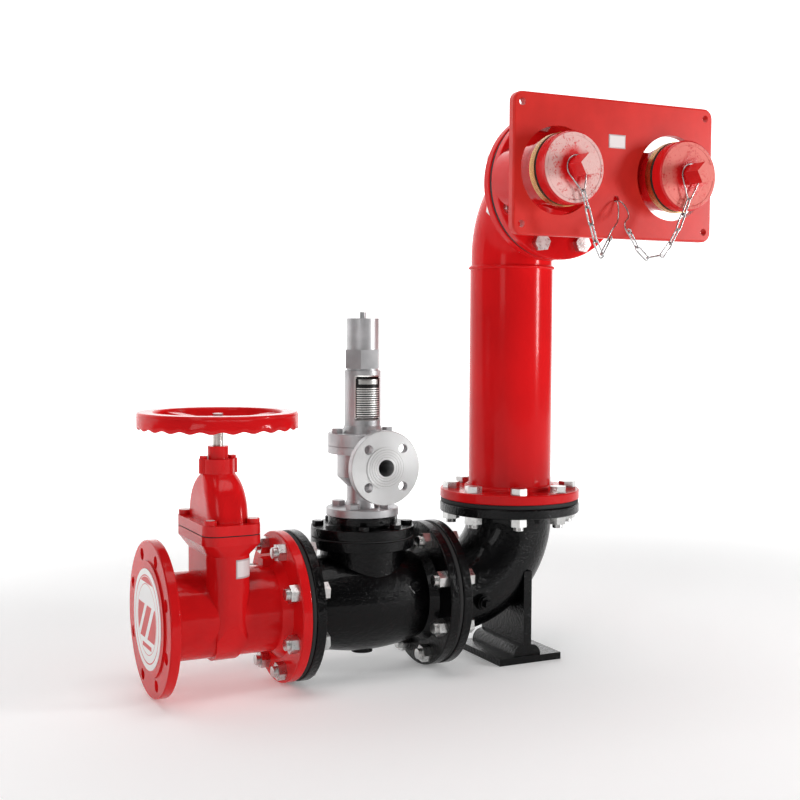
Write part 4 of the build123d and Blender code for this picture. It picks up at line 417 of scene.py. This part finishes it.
def plate_finish(dark, bright):
    """Etched plate on its own map: bright rim and rules on a dark ground, brushed along the rules."""
    plate = Finish("etched_plate", Metallic=0.85)
    parts = plate.node("ShaderNodeUVMap", {"uv_map": "plate"})
    split = plate.node("ShaderNodeSeparateXYZ", {}, {"Vector": parts}).link.node
    u, v = [Value(plate, output) for output in split.outputs[:2]]
    rim = (abs(u - 0.5) > 0.462).clipped() + (abs(v - 0.5) > 0.476).clipped()
    inside = (abs(u - 0.5) < 0.43) * (v > 0.05) * (v < 0.72)
    rules = ((v * (2 * pi * 20.0)).sine()).step(-0.15, 0.25) * inside
    title = (abs(v - 0.86) < 0.055) * (abs(u - 0.5) < 0.36)
    shine = (rim + rules + 0.6 * title).clipped()
    brush = plate.noise(1.0, 2.0, at=plate.stretched(300.0, 300.0, 3000.0))
    metal = plate.mix(brush, shade(bright, 0.7), shade(bright))
    plate.feed("Base Color", plate.mix(shine, shade(dark), metal))
    plate.feed("Roughness", 0.28 + 0.14 * brush)
    plate.relief(0.8 * shine + 0.2 * brush, 0.00012)
    return plate


def label_finish(pale, grey):
    """Bare sticker on its own map: pale field, thin grey border and a faint curl of gloss."""
    label = Finish("bare_label", IOR=1.45, Coat_Weight=0.3, Coat_Roughness=0.15)
    parts = label.node("ShaderNodeUVMap", {"uv_map": "plate"})
    split = label.node("ShaderNodeSeparateXYZ", {}, {"Vector": parts}).link.node
    u, v = [Value(label, output) for output in split.outputs[:2]]
    border = ((abs(u - 0.5) > 0.44) + (abs(v - 0.5) > 0.41)).clipped()
    grain = label.noise(700.0, 2.0)
    label.feed("Base Color", label.mix(border * 0.8, shade(pale), shade(grey)))
    label.feed("Roughness", 0.3 + 0.15 * grain)
    label.relief(grain, 0.00003)
    return label


def grid_faces(rows, columns, wrap_columns):
    """Quads of a grid of points, row by row; columns may close on themselves."""
    index = np.arange(rows * columns).reshape(rows, columns)
    ahead = np.roll(index, -1, axis=1) if wrap_columns else index[:, 1:]
    here = index if wrap_columns else index[:, :-1]
    return np.stack([here[:-1], ahead[:-1], ahead[1:], here[1:]], axis=-1).reshape(-1, 4)


def new_piece(name, points, faces, finish, body=ROOT, maps=None):
    """A mesh object at the origin from arrays of points and quads, riding on a body."""
    mesh = bpy.data.meshes.new(name)
    mesh.from_pydata(points.reshape(-1, 3).tolist(), [], faces.tolist())
    mesh.validate()
    mesh.polygons.foreach_set("use_smooth", np.full(len(mesh.polygons), True))
    if maps is not None:
        layer = mesh.uv_layers.new(name="plate")
        corner = np.zeros(len(mesh.loops), dtype=np.int32)
        mesh.loops.foreach_get("vertex_index", corner)
        layer.data.foreach_set("uv", maps.reshape(-1, 2)[corner].astype(np.float32).ravel())
    mesh.materials.append(finish.material)
    made = bpy.data.objects.new(name, mesh)
    bpy.context.scene.collection.objects.link(made)
    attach(made, body)
    return made


def across_axis(direction):
    """Two unit vectors square to a direction, right-handed with it."""
    along = np.asarray(direction, float)
    side = np.eye(3)[(int(np.argmax(np.abs(along))) + 1) % 3]
    return side, np.cross(along, side)


def carried_profile(centres, direction, radii, heights):
    """Skins of revolution: each centre carries rings with a radius and a height at every point."""
    side, other = across_axis(direction)
    rows, turns = radii.shape
    angle = np.linspace(0, 2 * pi, turns, endpoint=False)
    ring = np.cos(angle)[:, None] * side + np.sin(angle)[:, None] * other
    skin = radii[:, :, None] * ring[None] + heights[..., None] * np.asarray(direction, float)
    points = np.asarray(centres, float)[:, None, None, :] + skin[None]
    quads = grid_faces(rows, turns, True)
    faces = (quads[None] + (np.arange(len(points)) * rows * turns)[:, None, None]).reshape(-1, 4)
    return points, faces


def tint(name, words, default):
    """A colour setting."""
    return bpy.props.FloatVectorProperty(
        name=name, description=words, default=default, subtype="COLOR", min=0, max=1
    )


def metres(name, words, default, precision=4):
    """A length setting."""
    return bpy.props.FloatProperty(
        name=name, description=words, default=default, unit="LENGTH", precision=precision
    )


def turning(name, words, default):
    """An angle setting."""
    return bpy.props.FloatProperty(name=name, description=words, default=default, subtype="ANGLE")


def amount(name, words, default):
    """A setting that isn't negative."""
    return bpy.props.FloatProperty(name=name, description=words, default=default, min=0)


class CastingSettings(bpy.types.PropertyGroup):
    """Colours and surface of the painted castings."""

    red: tint("Red", "Red enamel", (0.66, 0.009, 0.011))
    panel_red: tint("Panel red", "Red of the wall panel", (0.62, 0.022, 0.016))
    black: tint("Black", "Black enamel", (0.0010, 0.0010, 0.0013))
    silver: tint("Silver", "Aluminium paint", (0.52, 0.52, 0.53))
    red_depth: metres("Red lump depth", "Depth of the lumps under red paint", 0.0008, 5)
    black_depth: metres("Black lump depth", "Depth of the lumps under black paint", 0.0024, 5)


class MetalSettings(bpy.types.PropertyGroup):
    """Colours of the bare metals and rubber."""

    zinc: tint("Zinc", "Zinc plate", (0.66, 0.66, 0.65))
    chain: tint("Chain", "White zinc of the chains", (0.46, 0.46, 0.46))
    steel: tint("Steel", "Turned stainless steel", (0.62, 0.60, 0.56))
    brass: tint("Brass", "Turned brass", (0.78, 0.53, 0.20))
    rubber: tint("Rubber", "Gasket rubber", (0.012, 0.012, 0.012))
    iron: tint("Iron", "Coated iron inside the valves", (0.09, 0.09, 0.09))
    spring: tint("Spring", "Oiled spring steel", (0.22, 0.22, 0.23))
    # Painted highlights: these two colours stand in for light on the caps' front faces, the left cap
    # painted paler than the right.
    pale: tint("Pale", "Rubbed face of the left cap", (0.78, 0.47, 0.44))
    right_cap_highlight: tint("Rosy", "Rubbed face of the right cap", (0.74, 0.17, 0.14))
    filler: tint("Filler", "Wax over the bonnet screws", (0.80, 0.70, 0.66))


class PlateSettings(bpy.types.PropertyGroup):
    """Sizes of the etched plate on the spring housing and of the two bare labels."""

    radius: metres("Radius", "Radius of the housing under the plate", 0.0351)
    thickness: metres("Thickness", "Thickness of the plate", 0.0008)
    half_angle: turning("Half angle", "Half of the arc the plate covers", radians(45))
    turn: turning("Turn", "Middle of the plate from the front, towards the gate valve", radians(4.6))
    bottom: metres("Bottom", "Height of the lower edge", 0.494)
    top: metres("Top", "Height of the upper edge", 0.580)
    pin_radius: metres("Pin radius", "Radius of the plate's drive pins", 0.0017)
    label_size: bpy.props.FloatVectorProperty(
        name="Label size",
        description="Width and height of the panel's label",
        size=2,
        default=(0.036, 0.024),
        unit="LENGTH",
    )
    label_place: bpy.props.FloatVectorProperty(
        name="Label place",
        description="Middle of the panel's label across and up",
        size=2,
        default=(0.0, 1.003),
        unit="LENGTH",
    )
    neck_bottom: metres("Neck label bottom", "Height of the lower edge of the gate valve's label", 0.222)
    neck_height: metres("Neck label height", "Height of the gate valve's label", 0.034)
    neck_start: turning("Neck label start", "Where that label begins round the neck's corner", radians(-92))
    neck_sweep: turning("Neck label sweep", "How far that label goes round the corner", radians(72))


class FasteningSettings(bpy.types.PropertyGroup):
    """Sizes of the threads, the welds and the joints' rims."""

    thread_radius: metres("Thread root", "Root radius of the flange bolt threads", 0.01004, 5)
    thread_depth: metres("Thread depth", "Height of the thread ridges", 0.00045, 5)
    thread_pitch: metres("Thread pitch", "Rise of the thread in one turn", 0.0025)
    thread_start: metres("Thread start", "Where the ridges begin above the nut's seat", 0.0155)
    thread_end: metres("Thread end", "Where the ridges end above the nut's seat", 0.0236)
    weld_ripples: bpy.props.IntProperty(
        name="Weld ripples", description="Ripples round one weld", default=150, min=24
    )
    weld_height: metres("Ripple height", "Height of one ripple", 0.0005, 5)
    rim_radius: metres("Rim radius", "Outer radius of the joints' rubber rims", 0.1408)
    rim_inner: metres("Rim inner", "Inner radius of the rims, clear of the bolts", 0.1315)
    rim_width: metres("Rim width", "Width of the rims between the flanges", 0.0086)
    rim_bulge: metres("Rim bulge", "How far a rim's outer side swells", 0.0012)


class WheelSettings(bpy.types.PropertyGroup):
    """Sizes of the waved skirt round the handwheel's rim."""

    outer: metres("Outer", "Outer radius of the skirt", 0.1473)
    inner: metres("Inner", "Inner radius of the skirt", 0.1396)
    top: metres("Top", "Height of the skirt's upper edge", 0.5110)
    bottom: metres("Bottom", "Mean height of the waved lower edge", 0.4876)
    waves: bpy.props.IntProperty(name="Waves", description="Waves round the rim", default=24, min=3)
    wave_height: metres("Wave height", "Half of the height of one wave", 0.0020)


class SpringSettings(bpy.types.PropertyGroup):
    """Sizes of the relief valve's spring."""

    mean_radius: metres("Mean radius", "Radius of the coil's middle line", 0.021)
    wire_radius: metres("Wire radius", "Radius of the wire", 0.0035)
    turns: bpy.props.IntProperty(name="Turns", description="Turns of the coil", default=7, min=1)
    bottom: metres("Bottom", "Height of the lower plate's top", 0.478)
    top: metres("Top", "Height of the upper plate's underside", 0.563)
    travel: metres("Travel", "Lift that shortens the spring", 0.008)


class StudioSettings(bpy.types.PropertyGroup):
    """Floor, lights and camera."""

    floor: tint("Floor", "Floor colour", (0.92, 0.92, 0.92))
    sky: amount("Sky", "Strength of the even white surround", 0.12)
    glow: amount("Glow", "Own light of the far floor and the sweep", 0.95)
    key: amount("Key", "Power of the right light", 40.0)
    fill: amount("Fill", "Power of the left light", 17.0)
    top: amount("Top", "Power of the overhead light", 27.0)
    lens: amount("Lens", "Focal length in millimetres", 56.36)
    place: bpy.props.FloatVectorProperty(
        name="Camera place",
        description="Where the camera stands",
        default=(-1.33754, -2.19867, 0.67329),
        unit="LENGTH",
    )
    heading: turning("Heading", "Camera heading from +Y towards +X", radians(26.28))
    pitch: turning("Pitch", "Camera pitch", radians(-3.35))
    roll: turning("Roll", "Camera roll", radians(0.28))


class ConnectionSettings(bpy.types.PropertyGroup):
    """All settings of the finish."""

    casting: bpy.props.PointerProperty(type=CastingSettings)
    metal: bpy.props.PointerProperty(type=MetalSettings)
    plate: bpy.props.PointerProperty(type=PlateSettings)
    fastening: bpy.props.PointerProperty(type=FasteningSettings)
    wheel: bpy.props.PointerProperty(type=WheelSettings)
    spring: bpy.props.PointerProperty(type=SpringSettings)
    studio: bpy.props.PointerProperty(type=StudioSettings)


class FINISH_OT_castings(bpy.types.Operator):
    """Paints the red, black and silver castings and the riser."""

    bl_idname = "finish.castings"
    bl_label = "Paint castings"

    def execute(self, context):
        chosen = context.scene.connection.casting
        coat_nodes(paint_finish("red_enamel", chosen.red, 55.0, 330.0, chosen.red_depth), RED_CASTINGS)
        coat_nodes(steelwork_finish("riser_red_enamel", chosen.red), RED_STEELWORK)
        coat_nodes(panel_finish(chosen.panel_red), ("wall_panel",))
        gloss = {"roughness": 0.08, "index": 1.22, "coat": 0.16}
        black = paint_finish("black_enamel", chosen.black, 150.0, 520.0, chosen.black_depth, **gloss)
        coat_nodes(black, BLACK_CASTINGS)
        coat_nodes(silver_finish("aluminium_paint", chosen.silver), SILVER_CASTINGS)
        outlet = silver_finish("outlet_aluminium_paint", chosen.silver, outlet=True)
        coat_nodes(outlet, ("relief_body",))
        return {"FINISHED"}


class FINISH_OT_metals(bpy.types.Operator):
    """Gives bolts, chains, stem, rings, gaskets and inner pieces their metals and rubber."""

    bl_idname = "finish.metals"
    bl_label = "Finish metals"

    def execute(self, context):
        chosen = context.scene.connection.metal
        coat_nodes(zinc_finish("zinc_plate", chosen.zinc), ZINC_PIECES)
        coat_nodes(zinc_finish("white_zinc", chosen.chain, depth=0.00006), CHAINS)
        coat_nodes(turned_finish("turned_steel", chosen.steel, 2), TURNED_STEEL)
        coat_nodes(turned_finish("turned_brass", chosen.brass, 0), BRASS_PIECES)
        coat_nodes(turned_finish("ring_brass", chosen.brass, 1), COUPLING_RINGS)
        coat_nodes(rubber_finish(chosen.rubber), RUBBER_PIECES)
        coat_nodes(zinc_finish("coated_iron", chosen.iron, depth=0.0006), IRON_PIECES)
        coat_nodes(zinc_finish("spring_steel", chosen.spring), ("relief_spring",))
        return {"FINISHED"}


class FINISH_OT_faces(bpy.types.Operator):
    """Paints the caps, the card on the open flange and the filled screw heads."""

    bl_idname = "finish.faces"
    bl_label = "Paint faces"

    def execute(self, context):
        casting = context.scene.connection.casting
        metal = context.scene.connection.metal
        coat_nodes(cap_finish("left_cap_enamel", -1, casting.red, metal.pale), ("left_cap",))
        coat_nodes(cap_finish("right_cap_enamel", 1, casting.red, metal.right_cap_highlight), ("right_cap",))
        coat_nodes(card_finish(casting.red, (0.92, 0.91, 0.90)), ("inlet_cover",))
        filler = paint_finish("screw_filler", metal.filler, 160.0, 600.0, 0.0003, roughness=0.45)
        coat_nodes(filler, ("bonnet_screws",))
        return {"FINISHED"}


class FINISH_OT_plate(bpy.types.Operator):
    """Adds the etched plate with its drive pins to the spring housing."""

    bl_idname = "finish.plate"
    bl_label = "Add plate"

    def execute(self, context):
        chosen = context.scene.connection.plate
        metal = context.scene.connection.metal
        outer = chosen.radius + chosen.thickness
        middle = -pi / 2 - chosen.turn
        turn = np.linspace(-chosen.half_angle, chosen.half_angle, 33)
        rise = np.linspace(chosen.bottom, chosen.top, 9)
        edge = np.concatenate([[chosen.radius], np.full(9, outer), [chosen.radius]])
        level = np.concatenate([[chosen.bottom], rise, [chosen.top]])
        span = np.concatenate([[turn[0]], turn, [turn[-1]]])
        reach = np.broadcast_to(edge[:, None], (len(level), len(span))).copy()
        reach[:, [0, -1]] = chosen.radius
        # The sheet is an arc about the housing's axis; its outer rows and columns fold back to the wall.
        points = np.stack(
            [
                RELIEF_AXIS[0] + reach * np.cos(middle + span)[None],
                RELIEF_AXIS[1] + reach * np.sin(middle + span)[None],
                np.broadcast_to(level[:, None], reach.shape),
            ],
            axis=-1,
        )
        share_u = np.broadcast_to((span / chosen.half_angle + 1)[None] / 2, reach.shape)
        share_v = (level - chosen.bottom) / (chosen.top - chosen.bottom)
        share_v = np.broadcast_to(share_v[:, None], reach.shape)
        maps = np.stack([share_u, share_v], axis=-1)
        finish = plate_finish((0.018, 0.018, 0.018), (0.78, 0.77, 0.74))
        faces = grid_faces(len(level), len(span), False)
        new_piece("spring_housing_plate", points, faces, finish, maps=maps)
        pins = zinc_finish("pin_zinc", metal.zinc)
        # Each pin is a low dome: its radius is a cosine and its height a sine of one parameter.
        rows, turns, flatness, inset, sink = 7, 16, 0.7, 0.0040, 0.0001
        lift = np.linspace(0, pi / 2 * 0.98, rows)
        radii = np.repeat((chosen.pin_radius * np.cos(lift))[:, None], turns, axis=1)
        heights = np.repeat((flatness * chosen.pin_radius * np.sin(lift))[:, None], turns, axis=1)
        ring = np.linspace(0, 2 * pi, turns, endpoint=False)
        low, high = chosen.bottom + inset, chosen.top - inset
        for corner, (side, height) in enumerate([(-1, low), (1, low), (-1, high), (1, high)]):
            angle = middle + side * chosen.half_angle * 0.91
            out = np.array([np.cos(angle), np.sin(angle), 0.0])
            centre = np.array([*RELIEF_AXIS, height]) + out * (outer - sink)
            side_axis = np.array([-out[1], out[0], 0.0])
            wheel = np.cos(ring)[:, None] * side_axis + np.sin(ring)[:, None] * np.array([0, 0, 1.0])
            dome = centre + radii[..., None] * wheel[None] + heights[..., None] * out
            new_piece(f"plate_pin_{corner + 1}", dome, grid_faces(rows, turns, True), pins)
        return {"FINISHED"}


class FINISH_OT_label(bpy.types.Operator):
    """Adds the bare labels to the panel and to the gate valve's neck."""

    bl_idname = "finish.label"
    bl_label = "Add bare labels"

    def execute(self, context):
        chosen = context.scene.connection.plate
        width, height = chosen.label_size
        x0, z0 = chosen.label_place
        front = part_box("wall_panel")[0].y
        u = np.concatenate([[0], np.linspace(0, 1, 13), [1]])
        v = np.concatenate([[0], np.linspace(0, 1, 9), [1]])
        across, up = np.meshgrid(u, v)
        # A flat sheet whose outer rows and columns turn back to the panel; corners lift by a hair.
        thickness, curl = 0.00025, 0.00015
        lift = thickness + curl * (np.abs(2 * across - 1) * np.abs(2 * up - 1)) ** 3
        lift[[0, -1], :] = 0
        lift[:, [0, -1]] = 0
        flat = [x0 + (across - 0.5) * width, front - lift, z0 + (up - 0.5) * height]
        finish = label_finish((0.80, 0.74, 0.74), (0.55, 0.46, 0.47))
        maps = np.stack([across, up], axis=-1)
        faces = grid_faces(len(v), len(u), False)
        new_piece("panel_label", np.stack(flat, axis=-1), faces, finish, maps=maps)
        # The gate valve's label follows the circle of the neck's corner and is carried up.
        angle = chosen.neck_start + across * chosen.neck_sweep
        reach = NECK_CORNER_RADIUS + lift
        wrapped = [
            NECK_CORNER[0] + reach * np.cos(angle),
            NECK_CORNER[1] + reach * np.sin(angle),
            chosen.neck_bottom + chosen.neck_height * up,
        ]
        new_piece("gate_label", np.stack(wrapped, axis=-1), faces, finish, maps=maps)
        return {"FINISHED"}


class FINISH_OT_threads(bpy.types.Operator):
    """Adds thread ridges to the bolt ends that stand out of the flange nuts."""

    bl_idname = "finish.threads"
    bl_label = "Add threads"

    def execute(self, context):
        chosen = context.scene.connection.fastening
        finish = zinc_finish("thread_zinc", context.scene.connection.metal.zinc)
        turns, rows = 24, 22
        along = np.linspace(chosen.thread_start, chosen.thread_end, rows)
        angle = np.linspace(0, 2 * pi, turns, endpoint=False)
        # A helical ridge: the radius rises and falls with the height in pitches less the share of a turn.
        phase = along[:, None] / chosen.thread_pitch - angle[None] / (2 * pi)
        ridge = 1 - np.abs(2 * (phase % 1.0) - 1)
        radii = chosen.thread_radius + chosen.thread_depth * ridge
        tip_radii = np.array([0.0098, 0.0086, 0.0])
        tip_rise = np.array([0.0002, 0.0006, 0.0006])
        radii = np.vstack([radii, np.repeat(tip_radii[:, None], turns, axis=1)])
        heights = np.concatenate([along, chosen.thread_end + tip_rise])
        heights = np.repeat(heights[:, None], turns, axis=1)
        spread = 2 * pi * (np.arange(BOLTS_PER_JOINT) + 0.5) / BOLTS_PER_JOINT
        for name, (middle, direction) in JOINTS.items():
            side, other = across_axis(direction)
            ring = BOLT_CIRCLE_RADIUS * (np.cos(spread)[:, None] * side + np.sin(spread)[:, None] * other)
            nuts = np.array(middle) + NUT_SEAT * np.array(direction) + ring
            points, faces = carried_profile(nuts, direction, radii, heights)
            new_piece(f"{name}_joint_threads", points, faces, finish)
        return {"FINISHED"}


class FINISH_OT_welds(bpy.types.Operator):
    """Adds rippled weld beads to the riser's foot and to the joint below its bend."""

    bl_idname = "finish.welds"
    bl_label = "Add welds"

    def execute(self, context):
        chosen = context.scene.connection.fastening
        finish = steelwork_finish("weld_red_enamel", context.scene.connection.casting.red)
        turns = 4 * chosen.weld_ripples
        angle = np.linspace(0, 2 * pi, turns, endpoint=False)
        # Across a bead the skin is part of a circle; along it scalloped ripples lift that circle.
        ripple = np.abs(np.sin(angle * chosen.weld_ripples / 2)) * chosen.weld_height
        sweep = np.linspace(0, 1, 9)
        # Each bead: height, root radius, size, and the two ends of its arc.
        welds = {
            "bend_weld": (0.793, 0.0836, 0.0032, radians(-90), radians(90)),
            "foot_weld": (0.345, 0.0840, 0.0086, radians(0), radians(90)),
        }
        for name, (level, root, size, low, high) in welds.items():
            tilt = low + sweep * (high - low)
            thick = size + ripple[None] * np.sin(pi * sweep)[:, None]
            radii = root + thick * np.cos(tilt)[:, None]
            heights = thick * np.sin(tilt)[:, None]
            points, faces = carried_profile([(0.0, 0.0, level)], (0.0, 0.0, 1.0), radii, heights)
            new_piece(name, points, faces, finish)
        return {"FINISHED"}


class FINISH_OT_rims(bpy.types.Operator):
    """Adds the rubber rims that close the flange joints outside their bolts."""

    bl_idname = "finish.rims"
    bl_label = "Add joint rims"

    def execute(self, context):
        chosen = context.scene.connection.fastening
        finish = rubber_finish(context.scene.connection.metal.rubber)
        # The section is a flat-sided band whose outer side bulges as a half sine; its ends meet.
        swell = np.linspace(0, 1, 9)
        bulge = chosen.rim_radius + chosen.rim_bulge * (np.sin(pi * swell) - 1)
        reach = np.concatenate([[chosen.rim_inner], bulge, [chosen.rim_inner] * 2])
        level = chosen.rim_width * np.concatenate([[-0.5], swell - 0.5, [0.5, -0.5]])
        turns = 120
        radii = np.repeat(reach[:, None], turns, axis=1)
        heights = np.repeat(level[:, None], turns, axis=1)
        for name, (middle, direction) in JOINTS.items():
            points, faces = carried_profile([middle], direction, radii, heights)
            new_piece(f"{name}_joint_rim", points, faces, finish)
        return {"FINISHED"}


class FINISH_OT_wheel(bpy.types.Operator):
    """Adds the waved skirt round the handwheel's rim."""

    bl_idname = "finish.wheel"
    bl_label = "Add wheel skirt"

    def execute(self, context):
        chosen = context.scene.connection.wheel
        casting = context.scene.connection.casting
        finish = paint_finish("wheel_red_enamel", casting.red, 55.0, 330.0, casting.red_depth)
        turns = 12 * chosen.waves
        angle = np.linspace(0, 2 * pi, turns, endpoint=False)
        # The lower edge follows a cosine round the rim; its section is a half circle between two walls.
        edge = chosen.bottom + chosen.wave_height * np.cos(angle * chosen.waves)
        half = (chosen.outer - chosen.inner) / 2
        tilt = np.linspace(0, pi, 13)
        below = edge[None] + half * (1 - np.sin(tilt))[:, None]
        around = np.repeat((chosen.inner + half + half * np.cos(tilt))[:, None], turns, axis=1)
        crest = np.full((1, turns), chosen.top)
        flat = np.ones((1, turns))
        tuck_in, tuck_up = 0.0008, 0.0002
        walls = [flat * chosen.inner, around[::-1], flat * chosen.outer, flat * (chosen.outer - tuck_in)]
        radii = np.vstack(walls)
        heights = np.vstack([crest, below[::-1], crest, crest + tuck_up])
        points, faces = carried_profile([(GATE_X, 0.0, 0.0)], (0.0, 0.0, 1.0), radii, heights)
        new_piece("wheel_skirt", points, faces, finish, body=WHEEL_BODY)
        return {"FINISHED"}


class FINISH_OT_spring(bpy.types.Operator):
    """Winds the relief valve's spring."""

    bl_idname = "finish.spring"
    bl_label = "Wind spring"

    def execute(self, context):
        chosen = context.scene.connection.spring
        finish = zinc_finish("coil_spring_steel", context.scene.connection.metal.spring)
        seat_gap = 0.00012
        low = chosen.bottom + chosen.wire_radius + seat_gap
        rise = chosen.top - chosen.bottom - 2 * (chosen.wire_radius + seat_gap)
        slope = rise / (2 * pi * chosen.turns * chosen.mean_radius)
        share = np.linspace(0, 1, 40 * chosen.turns + 1)
        turn = 2 * pi * chosen.turns * share
        # The middle line is a helix; each ring stands square to it, and both ends close to a point.
        out = np.stack([np.cos(turn), np.sin(turn), np.zeros_like(turn)], axis=-1)
        line = out * chosen.mean_radius + np.stack([turn * 0, turn * 0, low + rise * share], axis=-1)
        pull = np.stack([-np.sin(turn), np.cos(turn), np.full_like(turn, slope)], axis=-1)
        pull /= np.linalg.norm(pull, axis=-1, keepdims=True)
        side = np.cross(pull, out)
        sides = 16
        spin = np.linspace(0, 2 * pi, sides, endpoint=False)
        ring = np.cos(spin)[None, :, None] * out[:, None] + np.sin(spin)[None, :, None] * side[:, None]
        rows = np.concatenate([[0], np.arange(len(share)), [len(share) - 1]])
        reach = np.concatenate([[0.0], np.full(len(share), chosen.wire_radius), [0.0]])
        points = line[rows][:, None] + reach[:, None, None] * ring[rows] + np.array([*RELIEF_AXIS, 0.0])
        coil = new_piece("coil_spring", points, grid_faces(len(rows), sides, True), finish)
        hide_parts("relief_spring")
        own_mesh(coil)
        return {"FINISHED"}


class FINISH_OT_studio(bpy.types.Operator):
    """Sets the pale floor, the soft lights and the camera."""

    bl_idname = "finish.studio"
    bl_label = "Set studio"

    def execute(self, context):
        chosen = context.scene.connection.studio
        floor = Finish("studio_floor", IOR=1.3)
        cloud = floor.noise(0.8, 2.0)
        floor.feed("Base Color", floor.mix(cloud, shade(chosen.floor, 0.985), shade(chosen.floor)))
        floor.feed("Roughness", 0.75 + 0.1 * cloud)
        x, y, z = floor.axes()
        reach = (x * x + y * y + z * z) ** 0.5
        near_glow, far_glow = shade((0.17, 0.17, 0.17)), shade((1.0, 1.0, 1.0))
        floor.feed("Emission Color", floor.mix(reach.step(0.9, 3.2), near_glow, far_glow))
        floor.shader.inputs["Emission Strength"].default_value = chosen.glow
        front, back, turn_up, wall_top, half_width, drop = -6.0, 2.6, 1.2, 5.5, 7.0, 0.0004
        # The floor runs level to the back, turns up through a quarter circle and ends in an upright wall.
        bend = np.linspace(0, pi / 2, 17)
        rear = back + turn_up * np.sin(bend[1:])
        depth = np.concatenate([np.linspace(front, back, 18), rear, [back + turn_up]])
        level = np.concatenate([np.zeros(18), turn_up * (1 - np.cos(bend[1:])), [wall_top]]) - drop
        width = np.linspace(-half_width, half_width, 9)
        rows = np.broadcast_to(depth[:, None], (len(depth), len(width)))
        levels = np.broadcast_to(level[:, None], rows.shape)
        points = np.stack([np.broadcast_to(width, rows.shape), rows, levels], axis=-1)
        mesh = bpy.data.meshes.new("studio_floor")
        faces = grid_faces(len(depth), len(width), False)
        mesh.from_pydata(points.reshape(-1, 3).tolist(), [], faces.tolist())
        mesh.polygons.foreach_set("use_smooth", np.full(len(mesh.polygons), True))
        mesh.materials.append(floor.material)
        ground = bpy.data.objects.new("studio_floor", mesh)
        context.scene.collection.objects.link(ground)
        world = bpy.data.worlds.new("studio_surround")
        world.use_nodes = True
        surround = world.node_tree.nodes["Background"]
        surround.inputs["Color"].default_value = (1.0, 1.0, 1.0, 1.0)
        surround.inputs["Strength"].default_value = chosen.sky
        context.scene.world = world
        # Each light: name, place, aim, width and height, power.
        lights = (
            ("key_light", (2.0, -1.9, 0.95), (-0.2, 0.0, 0.55), (0.35, 0.8), chosen.key),
            ("fill_light", (-2.7, -1.9, 1.7), (-0.3, 0.0, 0.45), (0.8, 2.0), chosen.fill),
            ("top_light", (-0.4, -0.5, 2.9), (-0.3, 0.0, 0.3), (2.0, 1.4), chosen.top),
        )
        for name, place, aim, (wide, tall), power in lights:
            lamp = bpy.data.lights.new(name, "AREA")
            lamp.shape = "RECTANGLE"
            lamp.size = wide
            lamp.size_y = tall
            lamp.energy = power
            stand = bpy.data.objects.new(name, lamp)
            stand.location = place
            stand.rotation_mode = "QUATERNION"
            stand.rotation_quaternion = (Vector(aim) - Vector(place)).to_track_quat("-Z", "Y")
            context.scene.collection.objects.link(stand)
        lens = bpy.data.cameras.new("photo_camera")
        lens.sensor_width = 36.0
        lens.lens = chosen.lens
        lens.clip_start = 0.05
        lens.clip_end = 60.0
        camera = bpy.data.objects.new("photo_camera", lens)
        ahead = Vector(
            (
                np.sin(chosen.heading) * np.cos(chosen.pitch),
                np.cos(chosen.heading) * np.cos(chosen.pitch),
                np.sin(chosen.pitch),
            )
        )
        level = ahead.cross(Vector((0, 0, 1))).normalized()
        right = Matrix.Rotation(-chosen.roll, 3, ahead) @ level
        upward = right.cross(ahead)
        camera.matrix_world = Matrix.Translation(chosen.place) @ Matrix(
            [(right[i], upward[i], -ahead[i]) for i in range(3)]
        ).to_4x4()
        context.scene.collection.objects.link(camera)
        context.scene.camera = camera
        context.scene.view_settings.view_transform = "Standard"
        return {"FINISHED"}


STEPS = (
    FINISH_OT_castings,
    FINISH_OT_metals,
    FINISH_OT_faces,
    FINISH_OT_plate,
    FINISH_OT_label,
    FINISH_OT_threads,
    FINISH_OT_welds,
    FINISH_OT_rims,
    FINISH_OT_wheel,
    FINISH_OT_spring,
    FINISH_OT_studio,
)


class FINISH_PT_connection(bpy.types.Panel):
    """Lists the finish's steps and settings."""

    bl_label = "Fire connection finish"
    bl_idname = "FINISH_PT_connection"
    bl_space_type = "VIEW_3D"
    bl_region_type = "UI"
    bl_category = "Finish"

    def draw(self, context):
        for step in STEPS:
            self.layout.operator(step.bl_idname)
        for group in ("casting", "metal", "plate", "fastening", "wheel", "spring", "studio"):
            chosen = getattr(context.scene.connection, group)
            column = self.layout.box().column()
            for name in chosen.__annotations__:
                column.prop(chosen, name)


CLASSES = (
    CastingSettings,
    MetalSettings,
    PlateSettings,
    FasteningSettings,
    WheelSettings,
    SpringSettings,
    StudioSettings,
    ConnectionSettings,
    *STEPS,
    FINISH_PT_connection,
)


def register():
    for each in CLASSES:
        bpy.utils.register_class(each)
    bpy.types.Scene.connection = bpy.props.PointerProperty(type=ConnectionSettings)


def unregister():
    del bpy.types.Scene.connection
    for each in reversed(CLASSES):
        bpy.utils.unregister_class(each)


def main():
    """Runs every step in order."""
    register()
    bpy.ops.finish.castings()
    bpy.ops.finish.metals()
    bpy.ops.finish.faces()
    bpy.ops.finish.plate()
    bpy.ops.finish.label()
    bpy.ops.finish.threads()
    bpy.ops.finish.welds()
    bpy.ops.finish.rims()
    bpy.ops.finish.wheel()
    bpy.ops.finish.spring()
    bpy.ops.finish.studio()


if __name__ == "__main__":
    main()
